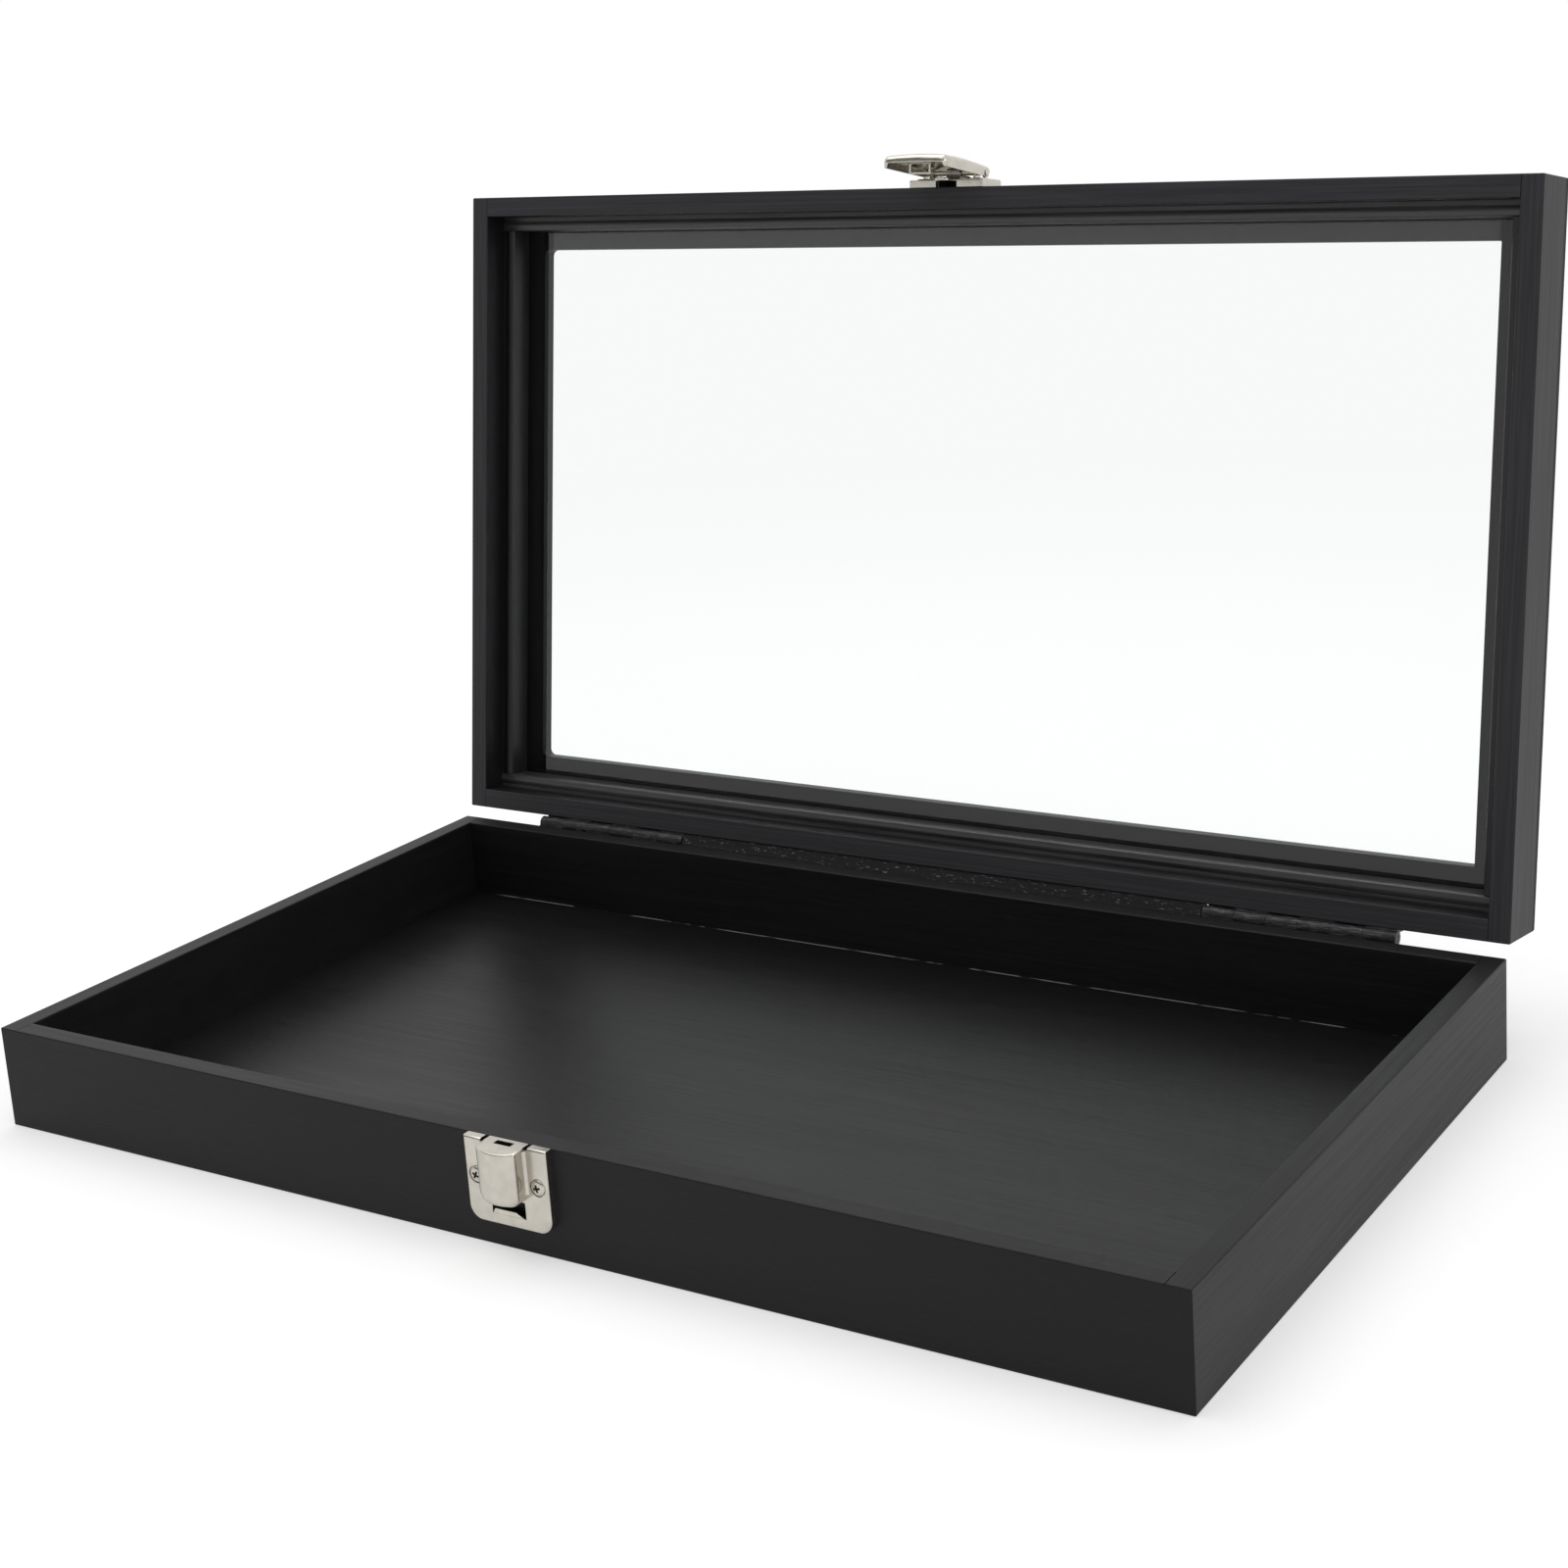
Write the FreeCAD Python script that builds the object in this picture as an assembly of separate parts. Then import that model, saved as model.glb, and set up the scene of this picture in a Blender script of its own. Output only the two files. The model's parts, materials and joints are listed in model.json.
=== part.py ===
"""Shallow wooden display case with a hinged, glazed lid and a spring catch.

Millimetres. +X is to the right, +Y to the back, +Z up, and the origin is the centre of the tray's
underside. Every piece of the lid is drawn where it is with the lid closed, then swung open.
"""
import FreeCAD, Part
import math
import os

V = FreeCAD.Vector
X_AXIS = V(1, 0, 0)
Y_AXIS = V(0, 1, 0)
Z_AXIS = V(0, 0, 1)

# Case
WIDTH = 375.0
DEPTH = 214.0
TRAY_HEIGHT = 30.4
LID_HEIGHT = 25.0
BOARD = 6.5
FLOOR = 5.0
RIM_GAP = 0.2
EASED_EDGE = 0.4
LID_ANGLE = 98.8

# Frame round the lid's window, pane and the moulded strips that hold it
FACE_THICKNESS = 5.0
FACE_BORDER = 17.2
FACE_ROUNDING = 3.0
WINDOW_CORNER = {"left": 2.2, "right": 0.6}
GLASS_THICKNESS = 2.5
GLASS_PLAY = 0.5
STRIP_WIDTH = 4.7
STRIP_FACE = 8.8
STRIP_FILLET = 1.2
STRIP_QUIRK = 0.35
STRIP_QUIRK_DEPTH = 0.6

# Nails in the butt joints, set below the surface
BRAD_RADIUS = 0.6
BRAD_LENGTH = 18.0
BRAD_COVER = 0.8
TRAY_BRAD_HEIGHTS = (9.0, 22.0)
LID_BRAD_HEIGHTS = (5.0, 14.0)

# Screws: radius and height of the head, radius and length of the shank
KEEPER_SCREW = (2.25, 1.0, 1.2, 8.0)
BASE_SCREW = (2.0, 0.8, 1.0, 7.6)
LEAF_SCREW = (2.1, 1.1, 1.0, 6.0)
SCREW_POINT = 1.5
RECESS_WIDTH = 0.8
RECESS_REACH = 0.6

# Hinges and the strip between them that the open lid leans on
AXIS_BEHIND = 2.6
AXIS_ABOVE = 0.4
HINGE_CENTRE = 125.0
HINGE_LENGTH = 60.0
KNUCKLES = 6
KNUCKLE_PLAY = 0.1
BARREL_RADIUS = 2.2
BARREL_ROOM = 2.45
PIN_RADIUS = 1.0
PIN_PLAY = 0.05
LEAF_THICKNESS = 1.0
LEAF_HEIGHT = 18.0
LEAF_SCREW_SPACING = 20.0
LEAF_SCREW_DROP = 10.0
BATTEN_HALF = 94.5
BATTEN_THICKNESS = 6.0
BATTEN_HEIGHT = 14.0
BATTEN_GAP = 0.1
BATTEN_BRAD_SPACING = 70.0
LEAF_CORNER = 1.5
PIN_END = 0.3

# Catch: how far it sits right of the middle, and its sheet
CATCH_X = 1.0
SHEET = 0.8
PAN_CORNER = 4.0

# Catch, lower half. Drops are from the tray's rim.
KEEPER_HALF = 13.2
KEEPER_DROP = 22.9
KEEPER_STAND = 2.6
KEEPER_NOTCH = (-7.6, 7.4)
HOUSING_HALF = 6.2
HOUSING_CORNER = 2.0
HOUSING_COVE = 1.0
HOUSING_FOOT_CORNERS = (4.0, 2.6)
HOUSING_RIDGE = 4.0
HOUSING_FALL = 0.12
HOUSING_BROW = 0.5
HOUSING_DROP = 15.2
HOUSING_SIDE = 6.3
HOUSING_CROWN = 8.2
SLOT_HALF = 2.7
SLOT_STAND = (1.3, 3.3)
CUTOUT = (-5.5, 5.3)
CUTOUT_DROP = 19.85
RAMP_ROOT_STAND = 2.5
RAMP_TIP_STAND = 2.25
RAMP_THICKNESS = 0.6
RAMP_OUTLINE = ((-5.4, 19.85), (5.2, 19.85), (4.3, 19.75), (1.8, 18.75), (-4.95, 18.75))
KEEPER_SCREW_X = (-9.7, 9.9)
KEEPER_SCREW_DROP = 10.2
KEEPER_SEAT = 0.4
KEEPER_SEAT_PLAY = 0.2

# Catch, upper half. Heights are from the lid's rim, towards the lid's face.
BASE_HALF = 12.9
BASE_HEIGHT = 15.0
BASE_STAND = 2.65
BASE_NOTCH = (-3.6, 3.8)
TONGUE_HALF = 2.35
TONGUE_REACH = 3.6
BASE_SCREW_X = 5.2
BASE_SCREW_HEIGHT = 2.6
PIVOT_HEIGHT = 6.0
PIVOT_STAND = 4.5
PIVOT_RADIUS = 0.8
LUG_X = (7.4, 8.2)
LUG_RADIUS = 1.25
LUG_FOOT = 3.4
PIN_HEAD_RADIUS = 1.1
PIN_HEAD = 0.3

# Catch lever: a hollow stamped cap with round shoulders and a round nose. Each station along it is its
# height, half width, stand at the sides and stand at the crown.
LEVER_ROUNDING = 1.9
LEVER_FLOOR = 2.0
LEVER_BACK = ((-18.5, 11.0, 8.3, 8.8),
              (-13.0, 11.0, 7.8, 9.3),
              (0.0, 11.0, 6.6, 9.35),
              (8.0, 11.0, 5.9, 8.2))
LEVER_END = (8.8, 10.7, 5.5, 7.8)
LEVER_NOSE_TURNS = (90, 72, 54, 36, 18)
# Lower edge of the lever's sides and nose: height and stand, from the nose to the tail
LEVER_EDGE = ((-21.4, 6.2), (-19.55, 6.2), (-19.3, 5.1), (-18.6, 4.8), (-8.0, 4.2),
              (4.4, 3.5), (7.4, 3.6), (7.5, 4.7), (9.6, 4.8))
EAR_RADIUS = 1.6
HOOK_HALF = 3.75
HOOK_HEIGHTS = (-16.4, -15.7)
HOOK_STAND = 2.9
HOOK_WINDOW_HALF = 3.1
HOOK_WINDOW = (3.5, 6.0)
HOOK_FOOT = (-19.2, 7.3)

# Coil spring round the catch's pivot
SPRING_WIRE = 0.25
SPRING_RADIUS = 1.45
SPRING_PITCH = 0.6
SPRING_TURNS = 8.25
SPRING_LEG = 5.5
SPRING_ARM = 2.6

# Worked out
RIGHT = WIDTH / 2
BACK = DEPTH / 2
INNER_X = RIGHT - BOARD
INNER_Y = BACK - BOARD
LID_RIM = TRAY_HEIGHT + RIM_GAP
LID_TOP = LID_RIM + LID_HEIGHT
FACE_BOTTOM = LID_TOP - FACE_THICKNESS
AXIS_Y = BACK + AXIS_BEHIND
AXIS_Z = TRAY_HEIGHT + AXIS_ABOVE
LID_LEAN = math.radians(LID_ANGLE - 90)


# --- shared helpers ---

def block(x0, x1, y0, y1, z0, z1):
    return Part.makeBox(x1 - x0, y1 - y0, z1 - z0, V(x0, y0, z0))


def rod(radius, start, direction, length):
    return Part.makeCylinder(radius, length, start, direction)


def fused(shapes):
    whole = shapes[0].fuse(shapes[1:]) if len(shapes) > 1 else shapes[0]
    return whole.removeSplitter()


def rounded(shape, radius, chosen):
    """Round each edge whose middle passes the test."""
    edges = [edge for edge in shape.Edges if chosen(edge.CenterOfMass)]
    return shape.makeFillet(radius, edges)


def near(value, target):
    return abs(value - target) < 0.01


def prism(points, sweep):
    """A solid from a flat outline of straight sides, swept along a vector."""
    return Part.Face(Part.makePolygon(points + points[:1])).extrude(sweep)


def opened(shape):
    """The closed lid's shape, swung to the pose in which the lid leans on its batten."""
    copy = shape.copy()
    copy.rotate(V(0, AXIS_Y, AXIS_Z), X_AXIS, -LID_ANGLE)
    return copy


def save(name, shape, lid=False):
    solids = shape if isinstance(shape, list) else [shape]
    placed = [opened(solid) if lid else solid for solid in solids]
    whole = placed[0] if len(placed) == 1 else Part.makeCompound(placed)
    whole.exportStep(os.path.join("parts", name + ".step"))
    volume = sum(solid.Volume for solid in placed)
    print("%-24s %2d solid(s) %10.1f mm3 valid %s" % (name, len(whole.Solids), volume, whole.isValid()))


# --- screws and nails ---

def driven(shape, point, direction):
    """Move a fastener drawn head up at the origin so that it is driven along a direction."""
    copy = shape.copy()
    copy.Placement = FreeCAD.Placement(point, FreeCAD.Rotation(Z_AXIS, direction * -1))
    return copy


def cross_recess(reach, width, depth, top):
    bars = [block(-reach, reach, -width / 2, width / 2, top - depth, top + 1),
            block(-width / 2, width / 2, -reach, reach, top - depth, top + 1)]
    return fused(bars)


def shank(radius, length):
    """Straight shank with a pointed end, from the head's seat down."""
    straight = rod(radius, V(0, 0, SCREW_POINT - length), Z_AXIS, length - SCREW_POINT)
    tip = Part.makeCone(radius / 8, radius, SCREW_POINT, V(0, 0, -length), Z_AXIS)
    return straight.fuse(tip)


def dome_screw(head_radius, head_height, shank_radius, length):
    head = rod(head_radius, V(0, 0, 0), Z_AXIS, head_height)
    head = rounded(head, head_height * 0.7, lambda middle: near(middle.z, head_height))
    recess = cross_recess(head_radius * RECESS_REACH, RECESS_WIDTH, head_height * 0.65, head_height)
    return fused([head.cut(recess), shank(shank_radius, length)])


def countersunk_screw(head_radius, head_height, shank_radius, length):
    head = Part.makeCone(shank_radius, head_radius, head_height, V(0, 0, -head_height), Z_AXIS)
    return fused([head, shank(shank_radius, length)])


def corner_brads(heights, base):
    """Nails driven from the side boards into the ends of the front and back boards."""
    brads = []
    for side in (-1, 1):
        for end in (-1, 1):
            for height in heights:
                start = V(side * (RIGHT - BRAD_COVER), end * (BACK - BOARD / 2), base + height)
                brads.append(rod(BRAD_RADIUS, start, X_AXIS * -side, BRAD_LENGTH))
    return brads


# --- boards of the tray and the lid ---

def side_board(side, z0, z1, eased_at):
    """A board that runs the case's full depth, with its free edges eased."""
    inner, outer = sorted((side * INNER_X, side * RIGHT))
    board = block(inner, outer, -BACK, BACK, z0, z1)

    def free(middle):
        on_end = near(abs(middle.y), BACK)
        on_outside = near(abs(middle.x), RIGHT)
        along_rim = any(near(middle.z, height) for height in eased_at)
        return along_rim or (on_end and on_outside)

    return rounded(board, EASED_EDGE, free)


def cross_board(end, z0, z1, eased_at):
    """A board that runs between the side boards."""
    inner, outer = sorted((end * INNER_Y, end * BACK))
    board = block(-INNER_X, INNER_X, inner, outer, z0, z1)

    def free(middle):
        along_rim = any(near(middle.z, height) for height in eased_at)
        return along_rim and near(middle.x, 0)

    return rounded(board, EASED_EDGE, free)


def box_of_boards(z0, z1, eased_at):
    return {"left": side_board(-1, z0, z1, eased_at),
            "right": side_board(1, z0, z1, eased_at),
            "front": cross_board(-1, z0, z1, eased_at),
            "back": cross_board(1, z0, z1, eased_at)}


def bottom_panel():
    return block(-INNER_X, INNER_X, -INNER_Y, INNER_Y, 0, FLOOR)


# --- lid face, pane and strips ---

def window_hole():
    """The window's opening, with rounder corners at the left than at the right."""
    half_x = RIGHT - FACE_BORDER
    half_y = BACK - FACE_BORDER
    hole = block(-half_x, half_x, -half_y, half_y, FACE_BOTTOM - 1, LID_TOP + 1)
    for side, corner_x in (("left", -half_x), ("right", half_x)):
        hole = rounded(hole, WINDOW_CORNER[side],
                       lambda middle: near(middle.x, corner_x) and near(abs(middle.y), half_y))
    return hole


def face_frame():
    """Two full-depth stiles and two rails between them, cut from one rounded slab."""
    slab = block(-RIGHT, RIGHT, -BACK, BACK, FACE_BOTTOM, LID_TOP)
    slab = rounded(slab, EASED_EDGE, lambda middle: near(abs(middle.x), RIGHT) and near(abs(middle.y), BACK))
    slab = rounded(slab, FACE_ROUNDING, lambda middle: near(middle.z, LID_TOP))
    frame = slab.cut(window_hole())
    corner = RIGHT - FACE_BORDER
    reach = BACK + 1
    low = FACE_BOTTOM - 1
    high = LID_TOP + 1
    return {"face_stile_left": frame.common(block(-RIGHT - 1, -corner, -reach, reach, low, high)),
            "face_stile_right": frame.common(block(corner, RIGHT + 1, -reach, reach, low, high)),
            "face_rail_front": frame.common(block(-corner, corner, -reach, 0, low, high)),
            "face_rail_back": frame.common(block(-corner, corner, 0, reach, low, high))}


def glass_pane():
    half_x = INNER_X - GLASS_PLAY
    half_y = INNER_Y - GLASS_PLAY
    return block(-half_x, half_x, -half_y, half_y, FACE_BOTTOM - GLASS_THICKNESS, FACE_BOTTOM)


def strip(corner, inward, along, length):
    """A moulded strip: flat fillet at the wall, a narrow quirk, then a rounded bead."""
    def at(across, depth):
        return corner + inward * across + Z_AXIS * depth

    foot = LID_HEIGHT - FACE_THICKNESS - GLASS_THICKNESS
    fillet_face = STRIP_FACE + 0.5
    quirk_floor = fillet_face + STRIP_QUIRK_DEPTH
    bead_start = STRIP_FILLET + STRIP_QUIRK
    bead_edge = STRIP_WIDTH - 0.6
    corners = [at(STRIP_WIDTH, STRIP_FACE + 0.9), at(STRIP_WIDTH, foot), at(0, foot), at(0, fillet_face),
               at(STRIP_FILLET, fillet_face), at(STRIP_FILLET, quirk_floor), at(bead_start, quirk_floor),
               at(bead_start, STRIP_FACE + 0.45)]
    sides = [Part.makeLine(start, end) for start, end in zip(corners, corners[1:])]
    shoulder = at(bead_edge, STRIP_FACE + 0.15)
    bead = Part.Arc(corners[-1], at((bead_start + bead_edge) / 2, STRIP_FACE), shoulder)
    edge = Part.Arc(shoulder, at(STRIP_WIDTH - 0.17, STRIP_FACE + 0.4), corners[0])
    outline = Part.Wire(Part.__sortEdges__(sides + [bead.toShape(), edge.toShape()]))
    return Part.Face(outline).extrude(along * length)


def glass_stops():
    """Front and back strips run from wall to wall; the side strips fit between them."""
    side_length = 2 * (INNER_Y - STRIP_WIDTH)
    side_start = -INNER_Y + STRIP_WIDTH
    return {"front": strip(V(-INNER_X, -INNER_Y, LID_RIM), Y_AXIS, X_AXIS, 2 * INNER_X),
            "back": strip(V(-INNER_X, INNER_Y, LID_RIM), Y_AXIS * -1, X_AXIS, 2 * INNER_X),
            "left": strip(V(-INNER_X, side_start, LID_RIM), X_AXIS, Y_AXIS, side_length),
            "right": strip(V(INNER_X, side_start, LID_RIM), X_AXIS * -1, Y_AXIS, side_length)}


# --- hinges and batten ---

def barrel(first_x, index, bore):
    """One knuckle of the hinge, curled round the pin."""
    length = HINGE_LENGTH / KNUCKLES
    start = V(first_x + index * length + KNUCKLE_PLAY / 2, AXIS_Y, AXIS_Z)
    outside = rod(BARREL_RADIUS, start, X_AXIS, length - KNUCKLE_PLAY)
    return outside, rod(bore, start, X_AXIS, length)


def leaf(first_x, side):
    """One leaf: side -1 is screwed to the tray, side 1 to the lid."""
    length = HINGE_LENGTH / KNUCKLES
    bore = PIN_RADIUS if side < 0 else PIN_RADIUS + PIN_PLAY
    outer = BACK + LEAF_THICKNESS
    end = AXIS_Z + side * LEAF_HEIGHT
    clear = AXIS_Z + side * BARREL_ROOM
    plate = block(first_x, first_x + HINGE_LENGTH, BACK, outer, min(end, clear), max(end, clear))
    centre = first_x + HINGE_LENGTH / 2
    plate = rounded(plate, LEAF_CORNER, lambda middle: near(middle.z, end) and not near(middle.x, centre))
    pieces = [plate]
    bores = []
    for index in range(0 if side < 0 else 1, KNUCKLES, 2):
        outside, hole = barrel(first_x, index, bore)
        x0 = first_x + index * length + KNUCKLE_PLAY / 2
        x1 = x0 + length - KNUCKLE_PLAY
        root = AXIS_Z - 0.3 if side < 0 else AXIS_Z
        pieces += [outside, block(x0, x1, BACK, outer, min(root, clear), max(root, clear))]
        bores.append(hole)
    return fused(pieces).cut(fused(bores))


def leaf_screws(side):
    """The six screws of the tray's leaves (side -1) or the lid's, and the holes that they fill."""
    head_radius, head_height = LEAF_SCREW[:2]
    filled = countersunk_screw(*LEAF_SCREW)
    recess = cross_recess(head_radius * RECESS_REACH, RECESS_WIDTH * 0.8, head_height * 0.6, 0)
    crossed = filled.cut(recess)
    height = AXIS_Z + side * LEAF_SCREW_DROP
    centres = (-HINGE_CENTRE, HINGE_CENTRE)
    spots = [V(centre + step * LEAF_SCREW_SPACING, BACK + LEAF_THICKNESS, height)
             for centre in centres for step in (-1, 0, 1)]
    inwards = Y_AXIS * -1
    crosses = [driven(crossed, spot, inwards) for spot in spots]
    return crosses, [driven(filled, spot, inwards) for spot in spots]


def hinge_pin(first_x):
    pin = rod(PIN_RADIUS, V(first_x, AXIS_Y, AXIS_Z), X_AXIS, HINGE_LENGTH)
    last_x = first_x + HINGE_LENGTH
    return rounded(pin, PIN_END, lambda middle: near(middle.x, first_x) or near(middle.x, last_x))


def batten():
    """Strip on the tray's back: its top lies along the open lid's back face, its front clears the lid."""
    def rest(across):
        return (AXIS_BEHIND - BATTEN_GAP - across * math.sin(LID_LEAN)) / math.cos(LID_LEAN)

    outer = BATTEN_THICKNESS - AXIS_BEHIND
    foot = AXIS_ABOVE * -1 - BATTEN_HEIGHT
    # The front bevel rises from the tray's rim to just behind the lid's edge.
    bevel_top = (0.1, rest(0.1))
    bevel = (-1.0, bevel_top[1] - 0.2)
    section = [(-AXIS_BEHIND, foot), (outer, foot), (outer, rest(outer)), bevel_top, bevel,
               (-AXIS_BEHIND, -AXIS_ABOVE)]
    points = [V(-BATTEN_HALF, AXIS_Y + across, AXIS_Z + up) for across, up in section]
    return prism(points, X_AXIS * (2 * BATTEN_HALF))


def batten_brads():
    start_y = BACK + BATTEN_THICKNESS - BRAD_COVER
    length = BATTEN_THICKNESS + BOARD - 3 * BRAD_COVER
    height = TRAY_HEIGHT - BATTEN_HEIGHT / 2
    spots = (-BATTEN_BRAD_SPACING, 0, BATTEN_BRAD_SPACING)
    return [rod(BRAD_RADIUS, V(x, start_y, height), Y_AXIS * -1, length) for x in spots]


# --- catch: stand is the distance out from the front boards ---

def stand(distance):
    return -BACK - distance


def pressed_pan(half, z_square, z_round, out):
    """Sheet pressed to a shallow pan against the wood, with two rounded corners."""
    def shell(inset, front):
        low, high = sorted((z_square, z_round))
        pan = block(inset - half, half - inset, stand(front), stand(0), low + inset, high - inset)
        end = z_round + (inset if z_round == low else -inset)
        edge = half - inset
        return rounded(pan, PAN_CORNER - inset,
                       lambda middle: near(middle.z, end) and near(abs(middle.x), edge))

    outside = rounded(shell(0, out), SHEET * 0.9, lambda middle: near(middle.y, stand(out)))
    return outside.cut(shell(SHEET, out - SHEET))


def housing(inset):
    """The keeper's bulge, or with an inset its hollow: crowned in plan, with a round foot."""
    half = HOUSING_HALF - inset
    low = TRAY_HEIGHT - HOUSING_DROP + inset
    top = TRAY_HEIGHT - inset
    back = stand(KEEPER_STAND - SHEET - inset)
    side = stand(HOUSING_SIDE - inset)
    crown = stand(HOUSING_CROWN - inset)
    plan = [Part.makeLine(V(-half, side, low), V(-half, back, low)),
            Part.makeLine(V(-half, back, low), V(half, back, low)),
            Part.makeLine(V(half, back, low), V(half, side, low)),
            Part.Arc(V(half, side, low), V(0, crown, low), V(-half, side, low)).toShape()]
    form = Part.Face(Part.Wire(plan)).extrude(V(0, 0, top - low))
    slope_start = stand(HOUSING_RIDGE)
    slope_end = stand(HOUSING_CROWN + 1)
    fall = HOUSING_FALL * (slope_start - slope_end)
    wedge = [V(-half - 1, slope_start, top), V(-half - 1, slope_end, top - fall),
             V(-half - 1, slope_end, top + 1), V(-half - 1, slope_start, top + 1)]
    form = form.cut(prism(wedge, X_AXIS * (2 * half + 2)))
    for corner_x, radius in zip((-half, half), HOUSING_FOOT_CORNERS):
        form = rounded(form, radius - inset, lambda middle: near(middle.x, corner_x) and near(middle.z, low))
    form = rounded(form, HOUSING_CORNER - inset,
                   lambda middle: middle.y < side + 0.01 and middle.z < top - HOUSING_CORNER)
    if not inset:
        form = rounded(form, HOUSING_BROW,
                       lambda middle: near(middle.x, 0) and middle.z > top - fall and middle.y < side)
    return form


def housing_mouth():
    """The opening in the housing's underside that lies over the cut-out."""
    left, right = HOUSING_FOOT_CORNERS
    low = TRAY_HEIGHT - HOUSING_DROP
    return block(left - HOUSING_HALF, HOUSING_HALF - right, stand(HOUSING_CROWN - HOUSING_CORNER - SHEET),
                 stand(KEEPER_STAND - 2 * SHEET), low - 1, low + 2 * SHEET)


def housing_cove(side, foot_corner):
    """Concave root where the pressed housing leaves the pan, down to the housing's round foot."""
    low = TRAY_HEIGHT - HOUSING_DROP + foot_corner
    high = TRAY_HEIGHT - SHEET - 0.1
    hollow_x = side * (HOUSING_HALF + HOUSING_COVE)
    hollow_y = stand(KEEPER_STAND + HOUSING_COVE)
    x0, x1 = sorted((side * (HOUSING_HALF - 0.2), hollow_x))
    corner = block(x0, x1, hollow_y, stand(KEEPER_STAND - 0.2), low, high)
    return corner.cut(rod(HOUSING_COVE, V(hollow_x, hollow_y, low - 1), Z_AXIS, high - low + 2))


def keeper_ramp():
    """Tongue pressed slightly inwards from the lower edge of the cut-out, flared at one side."""
    drops = [drop for x, drop in RAMP_OUTLINE]
    slope = (RAMP_ROOT_STAND - RAMP_TIP_STAND) / (max(drops) - min(drops))
    points = [V(x, stand(RAMP_TIP_STAND + slope * (drop - min(drops))), TRAY_HEIGHT - drop)
              for x, drop in RAMP_OUTLINE]
    return prism(points, V(0, RAMP_THICKNESS, 0))


def keeper_plate():
    """Pan, slotted housing, and the cut-out with its ramp that the hook drops into."""
    rim = TRAY_HEIGHT
    front = stand(KEEPER_STAND)
    pan = pressed_pan(KEEPER_HALF, rim, rim - KEEPER_DROP, KEEPER_STAND)
    notch = block(KEEPER_NOTCH[0], KEEPER_NOTCH[1], front - 1, stand(-1), rim - SHEET - 0.1, rim + 1)
    roof = block(-HOUSING_HALF, HOUSING_HALF, front, stand(0), rim - SHEET, rim)
    coves = [housing_cove(side, corner) for side, corner in zip((-1, 1), HOUSING_FOOT_CORNERS)]
    solid = fused([pan.cut(notch), housing(0), roof] + coves)
    slot = block(-SLOT_HALF, SLOT_HALF, stand(SLOT_STAND[1]), stand(SLOT_STAND[0]), rim - 2 * SHEET, rim + 1)
    cutout = block(CUTOUT[0], CUTOUT[1], front - 1, stand(KEEPER_STAND - SHEET - 0.1),
                   rim - CUTOUT_DROP, rim - HOUSING_DROP)
    seats = [rod(KEEPER_SCREW[0] + KEEPER_SEAT_PLAY, spot, Y_AXIS * -1, 1) for spot in keeper_spots()]
    return fused([solid.cut([housing(SHEET), housing_mouth(), slot, cutout] + seats), keeper_ramp()])


def keeper_spots():
    height = TRAY_HEIGHT - KEEPER_SCREW_DROP
    return [V(x, stand(KEEPER_STAND - KEEPER_SEAT), height) for x in KEEPER_SCREW_X]


def keeper_screws():
    screw = dome_screw(*KEEPER_SCREW)
    return [driven(screw, spot, Y_AXIS) for spot in keeper_spots()]


def pivot_point(x):
    return V(x, stand(PIVOT_STAND), LID_RIM + PIVOT_HEIGHT)


def lug(side):
    """Upright ear on the base plate that carries the pivot pin."""
    x0, x1 = sorted((side * LUG_X[0], side * LUG_X[1]))
    low = BASE_STAND - SHEET + 0.2
    near_edge = PIVOT_HEIGHT - LUG_RADIUS
    far_edge = PIVOT_HEIGHT + LUG_RADIUS
    outline = [(LUG_FOOT, low), (near_edge, PIVOT_STAND), (far_edge, PIVOT_STAND), (far_edge, low)]
    points = [V(x0, stand(out), LID_RIM + height) for height, out in outline]
    return fused([prism(points, X_AXIS * (x1 - x0)), rod(LUG_RADIUS, pivot_point(x0), X_AXIS, x1 - x0)])


def latch_base_plate():
    """Pan on the lid's front board, with the tongue that enters the keeper's slot and the pivot's lugs."""
    back = stand(BASE_STAND - SHEET)
    tip = LID_RIM - TONGUE_REACH
    pan = pressed_pan(BASE_HALF, LID_RIM, LID_RIM + BASE_HEIGHT, BASE_STAND)
    notch = block(BASE_NOTCH[0], BASE_NOTCH[1], back, stand(-1), LID_RIM - 1, LID_RIM + SHEET + 0.1)
    tongue = block(-TONGUE_HALF, TONGUE_HALF, stand(BASE_STAND), back, tip, LID_RIM + 2)
    tongue = rounded(tongue, 1.0, lambda middle: near(middle.z, tip) and not near(middle.x, 0))
    body = fused([pan.cut(notch), tongue, lug(-1), lug(1)])
    return body.cut(rod(PIVOT_RADIUS, pivot_point(-BASE_HALF), X_AXIS, 2 * BASE_HALF))


def latch_base_screws():
    screw = dome_screw(*BASE_SCREW)
    height = LID_RIM + BASE_SCREW_HEIGHT
    return [driven(screw, V(x, stand(BASE_STAND), height), Y_AXIS) for x in (-BASE_SCREW_X, BASE_SCREW_X)]


def latch_pivot_pin():
    """Pin through lugs and lever, with a peened head just outside each of the lever's sides."""
    reach = LEVER_BACK[1][1] + PIN_PLAY
    shaft = rod(PIVOT_RADIUS, pivot_point(-reach), X_AXIS, 2 * reach)
    heads = [rod(PIN_HEAD_RADIUS, pivot_point(start), X_AXIS, PIN_HEAD)
             for start in (-reach - PIN_HEAD, reach)]
    return fused([shaft] + heads)


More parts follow.
